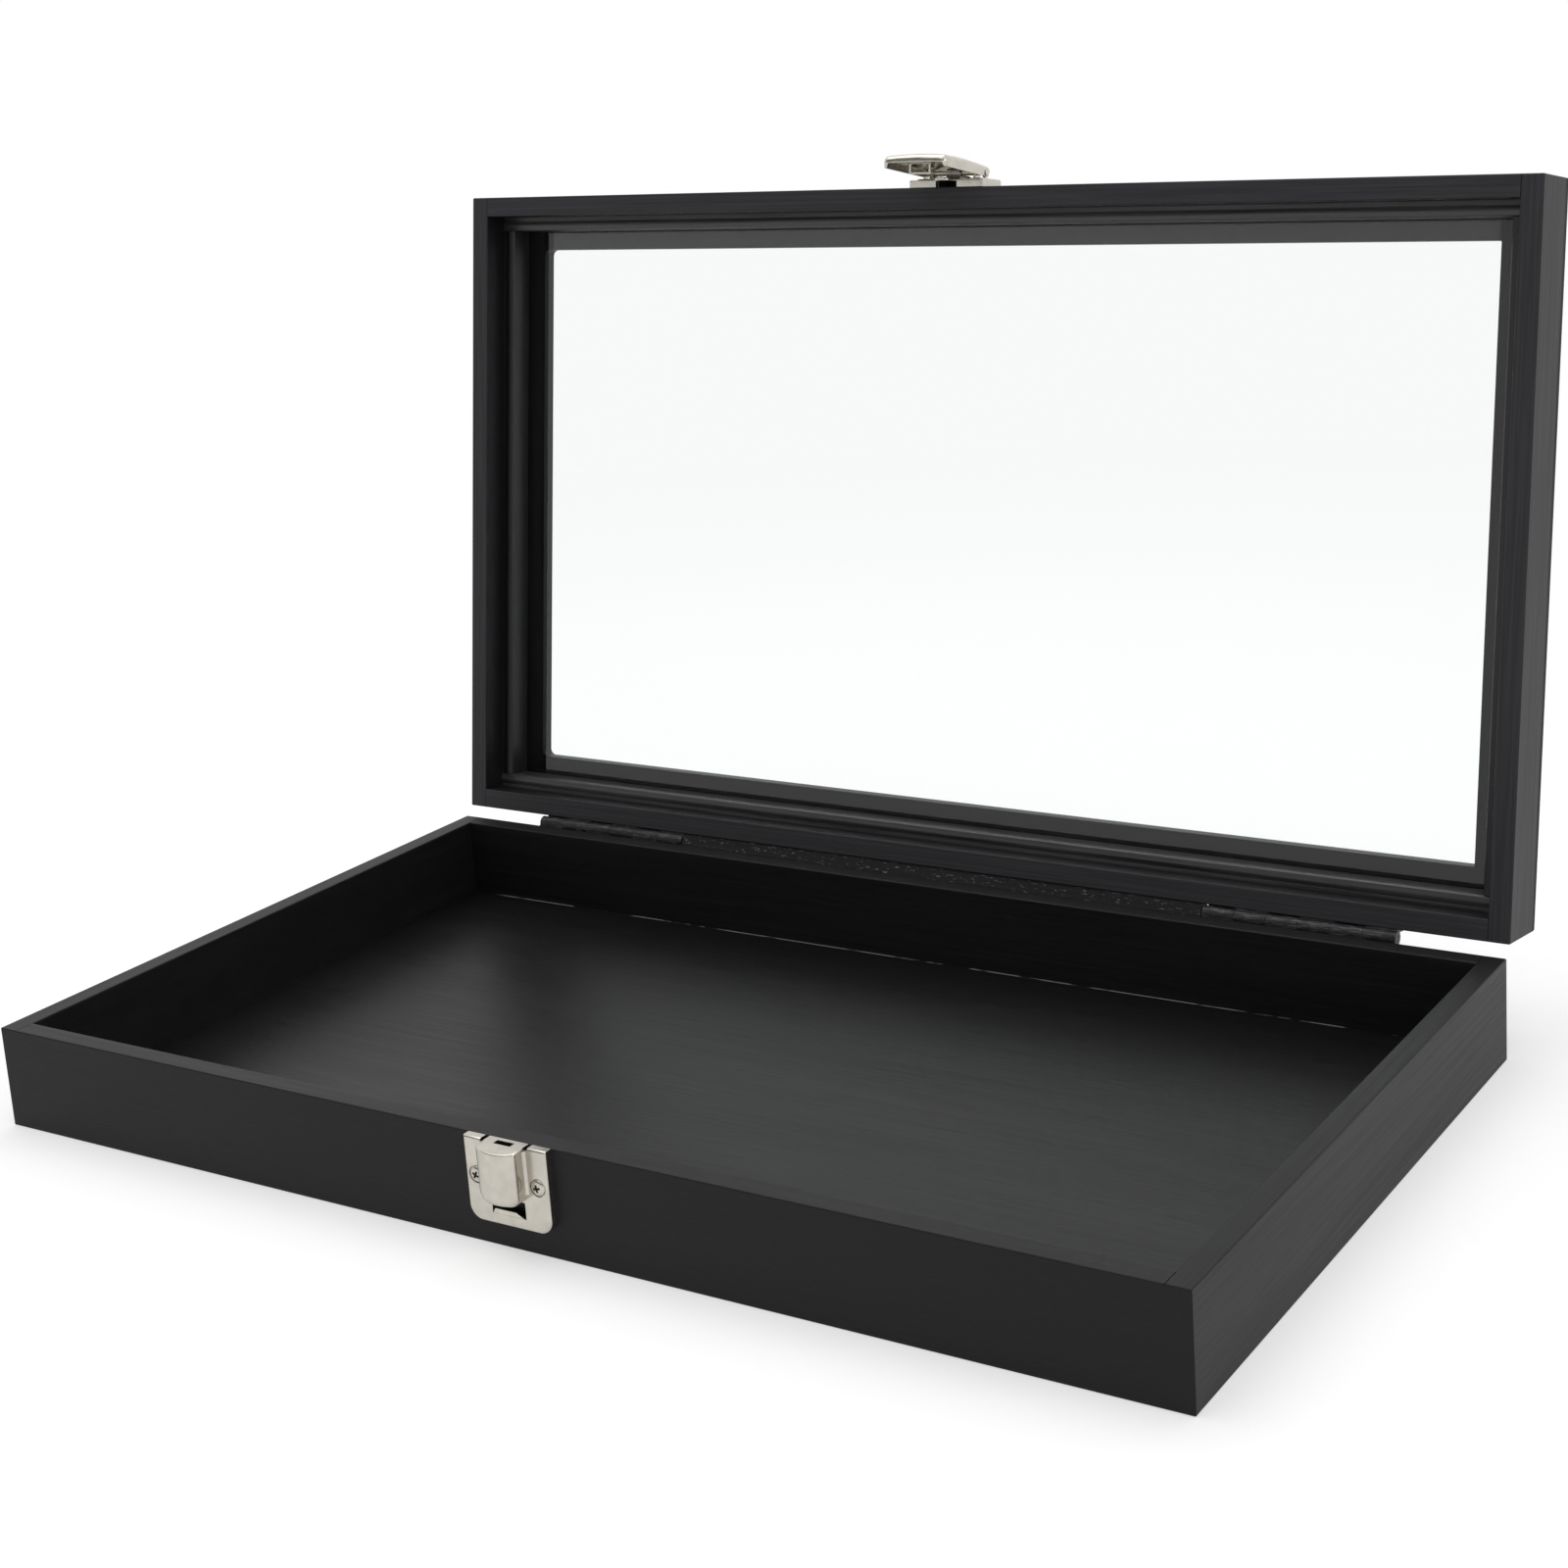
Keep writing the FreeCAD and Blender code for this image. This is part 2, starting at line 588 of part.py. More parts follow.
def lever_section(station, floor, radius):
    """Closed outline across the lever: straight sides, round shoulders and an arched top."""
    height, half, side, crown = station
    z = LID_RIM + height
    flat = half - radius
    top = crown - (crown - side) * (flat / half) ** 2

    def at(x, out):
        return V(x, stand(out), z)

    corners = [at(-half, floor), at(-half, top - radius), at(-flat, top),
               at(flat, top), at(half, top - radius), at(half, floor)]
    lean = radius * math.sqrt(0.5)
    shoulders = [at(side_x * (flat + lean), top - radius + lean) for side_x in (-1, 1)]
    return Part.Wire([Part.makeLine(corners[0], corners[1]),
                      Part.Arc(corners[1], shoulders[0], corners[2]).toShape(),
                      Part.Arc(corners[2], at(0, crown), corners[3]).toShape(),
                      Part.Arc(corners[3], shoulders[1], corners[4]).toShape(),
                      Part.makeLine(corners[4], corners[5]),
                      Part.makeLine(corners[5], corners[0])])


def lever_form(inset, floor):
    """The lever's outer form, or with an inset its hollow: nose, back and tail."""
    radius = LEVER_ROUNDING - inset
    back = [(height, half - inset, side - inset, crown - inset) for height, half, side, crown in LEVER_BACK]
    height, half, side, crown = back[0]
    nose = []
    for degrees in LEVER_NOSE_TURNS:
        turn = math.radians(degrees)
        shrink = radius * (1 - math.cos(turn))
        station = (height - radius * math.sin(turn), half - shrink, side - shrink, crown - shrink)
        nose.append(lever_section(station, floor, max(radius - shrink, 0.15)))
    nose.append(lever_section(back[0], floor, radius))
    parts = [Part.makeLoft(nose, True, True),
             Part.makeLoft([lever_section(station, floor, radius) for station in back], True, False)]
    if not inset:
        tail = [lever_section(LEVER_BACK[-1], floor, radius), lever_section(LEVER_END, floor, radius * 0.9)]
        parts.append(Part.makeLoft(tail, True, True))
    return fused(parts)


def lever_hollow():
    return lever_form(SHEET, LEVER_FLOOR - 1)


def latch_lever():
    """Hollow cap with a round nose; ears at its sides hold it on the pivot pin."""
    half = LEVER_BACK[0][1]
    beyond = 2 * half
    outline = list(LEVER_EDGE) + [(LEVER_EDGE[-1][0], beyond), (LEVER_EDGE[0][0], beyond)]
    points = [V(-beyond, stand(out), LID_RIM + height) for height, out in outline]
    cap = lever_form(0, LEVER_FLOOR).common(prism(points, X_AXIS * (2 * beyond)))
    ears = [rod(EAR_RADIUS, pivot_point(start), X_AXIS, SHEET) for start in (-half, half - SHEET)]
    body = fused([cap.cut(lever_hollow())] + ears)
    return body.cut(rod(PIVOT_RADIUS + PIN_PLAY, pivot_point(-BASE_HALF), X_AXIS, 2 * BASE_HALF))


def latch_hook():
    """Upright plate with a window, and a foot welded to the lever's roof."""
    low, high = (LID_RIM + height for height in HOOK_HEIGHTS)
    roof = stand(LEVER_BACK[2][3])
    sill, head = (stand(out) for out in HOOK_WINDOW)
    plate = block(-HOOK_HALF, HOOK_HALF, roof, stand(HOOK_STAND), low, high)
    window = block(-HOOK_WINDOW_HALF, HOOK_WINDOW_HALF, head, sill, low - 1, high + 1)
    foot = block(-HOOK_HALF, HOOK_HALF, roof, stand(HOOK_FOOT[1]), LID_RIM + HOOK_FOOT[0], low)
    return fused([plate.cut(window), foot]).common(lever_hollow())


def latch_spring():
    """Torsion spring: one leg lies along the base plate, the other pushes out the lever's tail."""
    height = SPRING_PITCH * SPRING_TURNS
    helix = Part.makeHelix(SPRING_PITCH, height, SPRING_RADIUS)
    profile = Part.Wire(Part.makeCircle(SPRING_WIRE, V(SPRING_RADIUS, 0, 0), Y_AXIS))
    coil = Part.Wire(helix).makePipeShell([profile], True, True)
    centre = pivot_point(-height / 2)
    # Turns the coil's axis from Z to X, with the coil's start on the side of the wood.
    coil.Placement = FreeCAD.Placement(centre, FreeCAD.Rotation(Y_AXIS, Z_AXIS, X_AXIS, "ZXY"))
    start = centre + Y_AXIS * SPRING_RADIUS
    end = centre + X_AXIS * height + Z_AXIS * SPRING_RADIUS
    legs = [rod(SPRING_WIRE, start, Z_AXIS * -1, SPRING_LEG), rod(SPRING_WIRE, end, Y_AXIS * -1, SPRING_ARM)]
    knees = [Part.makeSphere(SPRING_WIRE, start), Part.makeSphere(SPRING_WIRE, end)]
    return fused([coil] + legs + knees)


# --- assembly ---

def beside(shape):
    """A shape of the catch, moved from the middle to where the catch sits."""
    copy = shape.copy()
    copy.translate(V(CATCH_X, 0, 0))
    return copy


def save_tray():
    brads = corner_brads(TRAY_BRAD_HEIGHTS, 0)
    strip_brads = batten_brads()
    catch_screws = [beside(screw) for screw in keeper_screws()]
    hinge_screws, hinge_holes = leaf_screws(-1)
    for name, board in box_of_boards(0, TRAY_HEIGHT, (0, TRAY_HEIGHT)).items():
        save("tray_%s_board" % name, board.cut(brads + strip_brads + catch_screws + hinge_holes))
    save("tray_bottom_panel", bottom_panel())
    save("tray_corner_brads", brads)
    save("back_stop_batten", batten().cut(strip_brads))
    save("batten_brads", strip_brads)
    save("keeper_plate", beside(keeper_plate()).cut(catch_screws))
    save("keeper_screws", catch_screws)
    save("tray_hinge_screws", hinge_screws)
    for name, centre in (("left", -HINGE_CENTRE), ("right", HINGE_CENTRE)):
        first_x = centre - HINGE_LENGTH / 2
        save("hinge_%s_tray_leaf" % name, leaf(first_x, -1).cut(hinge_holes))
        save("hinge_%s_pin" % name, hinge_pin(first_x))


def save_lid():
    brads = corner_brads(LID_BRAD_HEIGHTS, LID_RIM)
    catch_screws = [beside(screw) for screw in latch_base_screws()]
    hinge_screws, hinge_holes = leaf_screws(1)
    for name, board in box_of_boards(LID_RIM, FACE_BOTTOM, (LID_RIM,)).items():
        save("lid_%s_board" % name, board.cut(brads + catch_screws + hinge_holes), lid=True)
    for name, piece in face_frame().items():
        save(name, piece, lid=True)
    save("glass_pane", glass_pane(), lid=True)
    for name, piece in glass_stops().items():
        save("glass_stop_%s" % name, piece, lid=True)
    save("lid_corner_brads", brads, lid=True)
    save("lid_hinge_screws", hinge_screws, lid=True)
    for name, centre in (("left", -HINGE_CENTRE), ("right", HINGE_CENTRE)):
        save("hinge_%s_lid_leaf" % name, leaf(centre - HINGE_LENGTH / 2, 1).cut(hinge_holes), lid=True)
    save("latch_base_plate", beside(latch_base_plate()).cut(catch_screws), lid=True)
    save("latch_base_screws", catch_screws, lid=True)
    save("latch_pivot_pin", beside(latch_pivot_pin()), lid=True)


def save_lever():
    save("latch_lever", beside(latch_lever()), lid=True)
    save("latch_hook", beside(latch_hook()), lid=True)
    save("latch_spring", beside(latch_spring()), lid=True)


os.makedirs("parts", exist_ok=True)
save_tray()
save_lid()
save_lever()
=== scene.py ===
"""Glazed display case: the finishes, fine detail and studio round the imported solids.

Metres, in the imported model's frame: +X to the right, +Y to the back, +Z up. The lid stands open at rest.
Patterns and new pieces of the lid are laid out where they are with the lid closed.
"""
import json
import math

import bmesh
import bpy
from mathutils import Matrix, Vector


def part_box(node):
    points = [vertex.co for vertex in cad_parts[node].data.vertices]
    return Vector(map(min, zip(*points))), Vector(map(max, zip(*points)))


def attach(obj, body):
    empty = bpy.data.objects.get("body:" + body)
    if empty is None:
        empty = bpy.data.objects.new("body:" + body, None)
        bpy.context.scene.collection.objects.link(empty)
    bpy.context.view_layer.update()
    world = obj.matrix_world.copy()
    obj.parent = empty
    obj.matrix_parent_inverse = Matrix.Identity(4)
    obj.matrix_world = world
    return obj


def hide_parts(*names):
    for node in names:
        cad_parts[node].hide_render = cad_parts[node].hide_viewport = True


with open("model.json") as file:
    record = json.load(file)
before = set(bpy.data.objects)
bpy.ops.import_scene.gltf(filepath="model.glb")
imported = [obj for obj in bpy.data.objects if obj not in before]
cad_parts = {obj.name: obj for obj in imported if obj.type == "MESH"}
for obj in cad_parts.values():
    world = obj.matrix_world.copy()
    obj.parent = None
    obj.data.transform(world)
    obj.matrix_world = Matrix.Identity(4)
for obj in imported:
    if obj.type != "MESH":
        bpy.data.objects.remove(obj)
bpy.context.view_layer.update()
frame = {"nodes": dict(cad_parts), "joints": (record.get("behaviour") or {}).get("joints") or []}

bl_info = {
    "name": "Glazed display case",
    "version": (1, 0, 0),
    "blender": (4, 5, 0),
    "location": "3D View > Sidebar > Display case",
    "description": "Dresses a shallow wooden display case with a hinged, glazed lid and a spring catch",
    "category": "Object",
}

MM = 0.001
Y = Vector((0, 1, 0))
Z = Vector((0, 0, 1))
LID_HINGE = next(joint for joint in frame["joints"] if joint["name"] == "lid_hinge")
HINGE_AXIS = Vector(LID_HINGE["pos_m"])
LID_ANGLE = math.radians(LID_HINGE["range_deg"][1])
TO_AXIS = Matrix.Translation(HINGE_AXIS)
OPENED = TO_AXIS @ Matrix.Rotation(-LID_ANGLE, 4, "X") @ TO_AXIS.inverted()
CLOSED = OPENED.inverted()
INNER_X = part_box("tray_bottom_panel")[1].x
INNER_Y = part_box("tray_bottom_panel")[1].y
TRAY_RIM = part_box("tray_front_board")[1].z
# The rims stay this far apart with the lid closed.
RIM_GAP = 0.2 * MM
LID_RIM = TRAY_RIM + RIM_GAP

# Share of the wood's pores that stay open under the lacquer.
OPEN_GRAIN = 0.7
# Most bare steel that shows where the hinges are rubbed.
RUBBED = 0.18
# Doubles this near are one point: in a piece made here, and in a copy of a node's mesh.
MERGE = 0.001 * MM
NODE_MERGE = 0.002 * MM
# Sides of a turned screw.
LATHE_SIDES = 40
# Edges that turn by more than this are sharp, and are rounded over.
SHARP_EDGE = math.radians(30.0)
# The foot of a screw's cross is this share of its mouth.
CROSS_TAPER = 0.55
# The cross is cut from this far above the crown, in millimetres.
CROSS_CLEAR = 0.4
# Painted shade lies in a cross between these two depths, and no further than this from the middle of the
# crown.
RECESS_SHADE_TOP = 0.22 * MM
RECESS_SHADE_FOOT = 0.8 * MM
RECESS_SHADE_REACH = 1.5 * MM
# The part of a strip that wavers ends this far into the lid from its rim.
FACE_DEPTH = 11 * MM
CAMERA_PLACE = (0.40873, -0.58094, 0.30523)
# Heading, tilt below the horizon and roll, in degrees, worked out from the case's own edges.
CAMERA_TURN = (33.532, 13.554, -4.025)
CAMERA_SHIFT = -0.094


# --- colours and nodes ---

def linear(hex_colour):
    """The linear colour of an sRGB hex value."""
    channels = [int(hex_colour[start:start + 2], 16) / 255 for start in (1, 3, 5)]
    return [c / 12.92 if c <= 0.04045 else ((c + 0.055) / 1.055) ** 2.4 for c in channels]


def node(tree, kind, values=(), **settings):
    """Adds a node: settings are its own options, and values fill its sockets, in their order or by key.

    A value is a number, a colour, an output to link, or a node, which stands for its first output.
    """
    made = tree.nodes.new(kind)
    for option, value in settings.items():
        setattr(made, option, value)
    filled = values.items() if isinstance(values, dict) else enumerate(values)
    for socket, value in filled:
        if isinstance(value, bpy.types.Node):
            value = value.outputs[0]
        if isinstance(value, bpy.types.NodeSocket):
            tree.links.new(value, made.inputs[socket])
        else:
            made.inputs[socket].default_value = value
    return made


def opaque(rgb):
    """A colour with its alpha."""
    return (*rgb, 1.0)


def blank_material(name):
    """An empty material and its tree."""
    material = bpy.data.materials.new(name)
    material.use_nodes = True
    material.node_tree.nodes.clear()
    return material, material.node_tree


def surface(tree, shader):
    """Ends a material's tree with its shader."""
    node(tree, "ShaderNodeOutputMaterial", {"Surface": shader})


def coated(tree, under, over, mask, strength=1.0):
    """The colour of one coat over another, as strong as the mask says."""
    share = node(tree, "ShaderNodeMath", (mask, strength), operation="MULTIPLY")
    return node(tree, "ShaderNodeMix", {0: share, 6: under, 7: over}, data_type="RGBA").outputs[2]


def weighed(tree, share, first, second):
    """Two patterns added up, the first with this share of the weight."""
    most = node(tree, "ShaderNodeMath", (first, share), operation="MULTIPLY")
    rest = node(tree, "ShaderNodeMath", (second, 1 - share), operation="MULTIPLY")
    return node(tree, "ShaderNodeMath", (most, rest), operation="ADD")


def case_point(tree, on_lid):
    """Where a point is with the lid closed."""
    point = node(tree, "ShaderNodeTexCoord").outputs["Object"]
    if on_lid:
        turn = Matrix.Rotation(LID_ANGLE, 3, "X")
        values = {"Vector": point, "Location": HINGE_AXIS - turn @ HINGE_AXIS, "Rotation": (LID_ANGLE, 0, 0)}
        point = node(tree, "ShaderNodeMapping", values)
    return point


def noise(tree, point, size, detail=2.0, roughness=0.5, shift=0.0):
    """Noise whose blotches are about this many millimetres along X, Y and Z."""
    scale = [1 / (length * MM) for length in size]
    moved = node(tree, "ShaderNodeMapping", {"Vector": point, "Location": (shift,) * 3, "Scale": scale})
    values = {"Vector": moved, "Scale": 1.0, "Detail": detail, "Roughness": roughness}
    return node(tree, "ShaderNodeTexNoise", values)


def drawn_out(axis, length, width):
    """A blotch's size when it is drawn out along one axis."""
    return [length if index == axis else width for index in range(3)]


def dust(tree, point):
    """A mask of sparse specks of dust, about 0.4 mm across, in about one in seven cells of 22 mm."""
    cells = node(tree, "ShaderNodeTexVoronoi", {"Vector": point, "Scale": 1 / (22 * MM)})
    near = node(tree, "ShaderNodeMapRange", (cells.outputs["Distance"], 0.008, 0.011, 1.0, 0.0))
    draw = node(tree, "ShaderNodeSeparateColor", (cells.outputs["Color"],))
    picked = node(tree, "ShaderNodeMapRange", (draw, 0.86, 0.87))
    return node(tree, "ShaderNodeMath", (near, picked), operation="MULTIPLY")


def sight(tree):
    """Two masks: rays from the camera, straight or through glass, and the same with mirrored rays added."""
    rays = node(tree, "ShaderNodeLightPath")
    values = (rays.outputs["Is Camera Ray"], rays.outputs["Is Transmission Ray"])
    direct = node(tree, "ShaderNodeMath", values, operation="ADD", use_clamp=True)
    values = (direct, rays.outputs["Is Glossy Ray"])
    return direct, node(tree, "ShaderNodeMath", values, operation="ADD", use_clamp=True)


# --- finishes ---

def painted_wood(name, grain, on_lid=False, sheen=0.46, level=0.2, seam=False, worn=0.0,
                 tones=("deep", "body")):
    """Satin black lacquer sprayed thinly on a light open-pored wood.

    The pores stay open under the paint, so the eye sees faint streaks along each board, a softer gloss in
    them, and a streakier rim where sanding cut through the fibres. The lid's rim is greyer still: a painted
    sheen.
    """
    look = bpy.context.scene.display_case.paint
    material, tree = blank_material(name)
    point = case_point(tree, on_lid)
    # Streaks of fibres are about 0.3 mm wide in the wood and pores 0.2 mm: they are drawn 0.9 and 0.45 mm
    # wide so that they show.
    fibres = noise(tree, point, drawn_out(grain, look.fibre_length, look.fibre_width), 3.0, 0.62)
    pores = noise(tree, point, drawn_out(grain, 9.0, 0.45), 2.0, 0.6, 3.7)
    bands = noise(tree, point, drawn_out(grain, 260.0, 16.0), 2.0, 0.5, 8.1)
    open_pores = node(tree, "ShaderNodeMapRange", (pores, 0.56, 0.68))
    tone = node(tree, "ShaderNodeMapRange", (weighed(tree, 0.62, fibres, bands), 0.36, 0.64))
    thick, thin = (opaque(getattr(look, tone_name)) for tone_name in tones)
    body = coated(tree, thick, thin, tone)
    body = coated(tree, body, opaque(look.grain), open_pores, 0.35 * OPEN_GRAIN)
    place = node(tree, "ShaderNodeSeparateXYZ", (point,))
    # Both rims lie half of the gap between them from this level.
    above = node(tree, "ShaderNodeMath", (place.outputs[2], TRAY_RIM + RIM_GAP / 2), operation="SUBTRACT")
    from_rim = node(tree, "ShaderNodeMath", (above,), operation="ABSOLUTE")
    rim = node(tree, "ShaderNodeMapRange", (from_rim, 0.16 * MM, 0.3 * MM, 1.0, 0.0))
    streak = node(tree, "ShaderNodeMapRange", (fibres, 0.42, 0.62, 0.55, 0.85))
    sanded = node(tree, "ShaderNodeMath", (rim, streak), operation="MULTIPLY")
    # The lid's rim tone is lighter than the tray's: a painted sheen laid over the sanded streaks.
    body = coated(tree, body, opaque(look.lid_rim_sheen if on_lid else look.rim), sanded)
    if seam:
        # The panel shrinks a little from the back wall and bares a hair of raw edge there.
        from_wall = node(tree, "ShaderNodeMath", (INNER_Y, place.outputs[1]), operation="SUBTRACT")
        bare = node(tree, "ShaderNodeMapRange", (from_wall, 0.45 * MM, 0.75 * MM, 1.0, 0.0))
        breaks = noise(tree, point, (14, 6, 6), 3.0, 0.6, 5.5)
        broken = node(tree, "ShaderNodeMapRange", (breaks, 0.44, 0.52))
        bare = node(tree, "ShaderNodeMath", (bare, broken), operation="MULTIPLY")
        off_middle = node(tree, "ShaderNodeMath", (place.outputs[0],), operation="ABSOLUTE")
        short_of_ends = node(tree, "ShaderNodeMapRange", (off_middle, 0.166, 0.172, 1.0, 0.0))
        bare = node(tree, "ShaderNodeMath", (bare, short_of_ends), operation="MULTIPLY")
        body = coated(tree, body, opaque(look.bare), bare)
    if worn:
        rubbed = noise(tree, point, drawn_out(grain, 2.4, 0.5), 2.0, 0.7, 1.3)
        flecks = node(tree, "ShaderNodeMapRange", (rubbed, 0.62, 0.7))
        body = coated(tree, body, opaque(look.bare), flecks, worn)
    body = coated(tree, body, opaque(look.dust), dust(tree, point))
    shine = weighed(tree, 0.7, fibres, bands)
    gloss = node(tree, "ShaderNodeMapRange", (shine, 0.3, 0.7, sheen - 0.06, sheen + 0.08))
    sunk = node(tree, "ShaderNodeMath", (open_pores, 0.6 * OPEN_GRAIN), operation="MULTIPLY")
    relief = node(tree, "ShaderNodeMath", (fibres, sunk), operation="SUBTRACT")
    bump = node(tree, "ShaderNodeBump", {"Height": relief, "Distance": look.relief * MM, "Strength": 1.0})
    values = {"Base Color": body, "Roughness": gloss, "Specular IOR Level": level, "Normal": bump}
    surface(tree, node(tree, "ShaderNodeBsdfPrincipled", values))
    return material


def dark_recess(name):
    """Darker, duller nickel in the bottom of a screw's cross: a painted shade in the recess."""
    material, tree = blank_material(name)
    values = {"Base Color": opaque(linear("#3a3733")), "Metallic": 0.6, "Roughness": 0.6}
    surface(tree, node(tree, "ShaderNodeBsdfPrincipled", values))
    return material


def plated_nickel(name):
    """Bright nickel plate on pressed steel: a warm, slightly soft mirror with the press's faint waves."""
    look = bpy.context.scene.display_case.metal
    material, tree = blank_material(name)
    point = node(tree, "ShaderNodeTexCoord").outputs["Object"]
    waves = noise(tree, point, (3.5, 3.5, 3.5))
    grit = noise(tree, point, (0.5, 0.5, 0.5), 3.0, 0.6, 2.2)
    blur = look.nickel_roughness
    rough = node(tree, "ShaderNodeMapRange", (grit, 0.3, 0.7, blur - 0.05, blur + 0.08))
    shade = node(tree, "ShaderNodeMapRange", (waves, 0.35, 0.65))
    metal = coated(tree, opaque(look.nickel), opaque([channel * 0.9 for channel in look.nickel]), shade)
    fine = node(tree, "ShaderNodeMath", (grit, 0.12), operation="MULTIPLY")
    relief = node(tree, "ShaderNodeMath", (waves, fine), operation="ADD")
    bump = node(tree, "ShaderNodeBump", {"Height": relief, "Distance": 0.03 * MM, "Strength": 1.0})
    values = {"Base Color": metal, "Metallic": 1.0, "Roughness": rough, "Normal": bump}
    surface(tree, node(tree, "ShaderNodeBsdfPrincipled", values))
    return material


def blackened_steel(name):
    """Steel of the hinges and their screws, blackened with the case and rubbed brighter in fine scuffs."""
    look = bpy.context.scene.display_case.metal
    material, tree = blank_material(name)
    point = node(tree, "ShaderNodeTexCoord").outputs["Object"]
    scuffs = noise(tree, point, (4.0, 0.5, 0.5), 3.0, 0.65)
    rubbed = node(tree, "ShaderNodeMapRange", (scuffs, 0.5, 0.72, 0.0, RUBBED))
    metal = coated(tree, opaque(look.blackened), opaque(look.steel), rubbed)
    rough = node(tree, "ShaderNodeMapRange", (rubbed, 0.0, RUBBED, 0.46, 0.38))
    grit = noise(tree, point, (0.6, 0.4, 0.4), 2.0, 0.6, 1.1)
    bump = node(tree, "ShaderNodeBump", {"Height": grit, "Distance": 0.01 * MM, "Strength": 1.0})
    values = {"Base Color": metal, "Metallic": rubbed, "Roughness": rough, "Specular IOR Level": 0.35,
              "Normal": bump}
    surface(tree, node(tree, "ShaderNodeBsdfPrincipled", values))
    return material


def drawn_steel(name):
    """Bright drawn steel wire and rod, with fine lines along the draw."""
    look = bpy.context.scene.display_case.metal
    material, tree = blank_material(name)
    point = node(tree, "ShaderNodeTexCoord").outputs["Object"]
    # The lines of a draw are under 0.1 mm wide: they are drawn 0.25 mm wide so that they show.
    lines = noise(tree, point, (8.0, 0.25, 0.25), 2.0, 0.6)
    shade = node(tree, "ShaderNodeMapRange", (lines, 0.3, 0.7))
    metal = coated(tree, opaque(look.steel), opaque([channel * 0.8 for channel in look.steel]), shade)
    rough = node(tree, "ShaderNodeMapRange", (lines, 0.3, 0.7, 0.24, 0.36))
    values = {"Base Color": metal, "Metallic": 1.0, "Roughness": rough}
    surface(tree, node(tree, "ShaderNodeBsdfPrincipled", values))
    return material


def float_glass(name):
    """Clear float glass: flat, colourless face on, with a faint grey veil. Lamps shine through it."""
    look = bpy.context.scene.display_case.glass
    material, tree = blank_material(name)
    values = {"Base Color": opaque(look.colour), "Roughness": 0.0, "IOR": 1.5, "Transmission Weight": 1.0}
    pane = node(tree, "ShaderNodeBsdfPrincipled", values)
    clear = node(tree, "ShaderNodeBsdfTransparent", {"Color": (0.9, 0.92, 0.91, 1.0)})
    rays = node(tree, "ShaderNodeLightPath")
    surface(tree, node(tree, "ShaderNodeMixShader", (rays.outputs["Is Shadow Ray"], pane, clear)))
    return material


def studio_floor(name):
    """White studio sheet, seen and mirrored as white, that still takes the case's soft shadow."""
    look = bpy.context.scene.display_case.studio
    material, tree = blank_material(name)
    paper = node(tree, "ShaderNodeBsdfDiffuse", {"Color": opaque(look.floor)})
    seen = sight(tree)[1]
    lift = node(tree, "ShaderNodeMath", (seen, look.lift), operation="MULTIPLY")
    glow = node(tree, "ShaderNodeEmission", {"Strength": lift})
    lit = node(tree, "ShaderNodeAddShader", (paper, glow))
    # Away from the case, past its shadow, the sheet turns an even white.
    place = node(tree, "ShaderNodeTexCoord").outputs["Object"]
    away = node(tree, "ShaderNodeVectorMath", (place,), operation="LENGTH").outputs["Value"]
    far = node(tree, "ShaderNodeMapRange", (away, 0.5, 1.1))
    share = node(tree, "ShaderNodeMath", (seen, far), operation="MULTIPLY")
    white = node(tree, "ShaderNodeEmission", {"Strength": 1.0})
    surface(tree, node(tree, "ShaderNodeMixShader", (share, lit, white)))
    return material


# --- pieces ---

def finish_node(name, material):
    """Gives a node's own mesh its finish."""
    mesh = frame["nodes"][name].data
    mesh.materials.clear()
    mesh.materials.append(material)


def new_piece(name, mesh, material, body, slot, *nodes):
    """Hangs a finished mesh on its body, in place of the nodes that it stands for."""
    piece = bpy.data.objects.new(name, mesh)
    bpy.context.scene.collection.objects.link(piece)
    if material:
        mesh.materials.clear()
        mesh.materials.append(material)
    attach(piece, body)
    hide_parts(*nodes)
    return piece


def joined(name):
    """A node's mesh with its loose triangles joined up and its flat faces whole."""
    shell = bmesh.new()
    shell.from_mesh(frame["nodes"][name].data)
    bmesh.ops.remove_doubles(shell, verts=shell.verts, dist=NODE_MERGE)
    bmesh.ops.dissolve_limit(shell, angle_limit=math.radians(0.4), verts=shell.verts, edges=shell.edges)
    return shell


def baked(source):
    """The plain mesh that an object's modifiers make."""
    graph = bpy.context.evaluated_depsgraph_get()
    mesh = bpy.data.meshes.new_from_object(source.evaluated_get(graph), depsgraph=graph)
    bpy.data.objects.remove(source)
    return mesh


def eased(name):
    """A node's mesh with every sharp edge rounded over and smooth shading between them."""
    shell = joined(name)
    mesh = bpy.data.meshes.new(name + "_eased")
    shell.to_mesh(mesh)
    shell.free()
    mesh.shade_smooth()
    source = bpy.data.objects.new(name + "_source", mesh)
    bpy.context.scene.collection.objects.link(source)
    edge = source.modifiers.new("edge", "BEVEL")
    edge.width = bpy.context.scene.display_case.metal.edge
    edge.segments = 2
    edge.limit_method = "ANGLE"
    edge.angle_limit = SHARP_EDGE
    # Wide flat faces keep their own direction, and the narrow ones between them take the turn.
    source.modifiers.new("flats", "WEIGHTED_NORMAL")
    return baked(source)


def islands(name, space):
    """The lowest and highest corner of each separate solid of a node, in a given space."""
    shell = joined(name)
    left = set(shell.verts)
    corners = []
    while left:
        found = [left.pop()]
        for vertex in found:
            for edge in vertex.link_edges:
                other = edge.other_vert(vertex)
                if other in left:
                    left.remove(other)
                    found.append(other)
        points = [space @ vertex.co for vertex in found]
        corners.append([Vector(pick(p[i] for p in points) for i in range(3)) for pick in (min, max)])
    shell.free()
    return sorted(corners, key=lambda pair: pair[0].x)


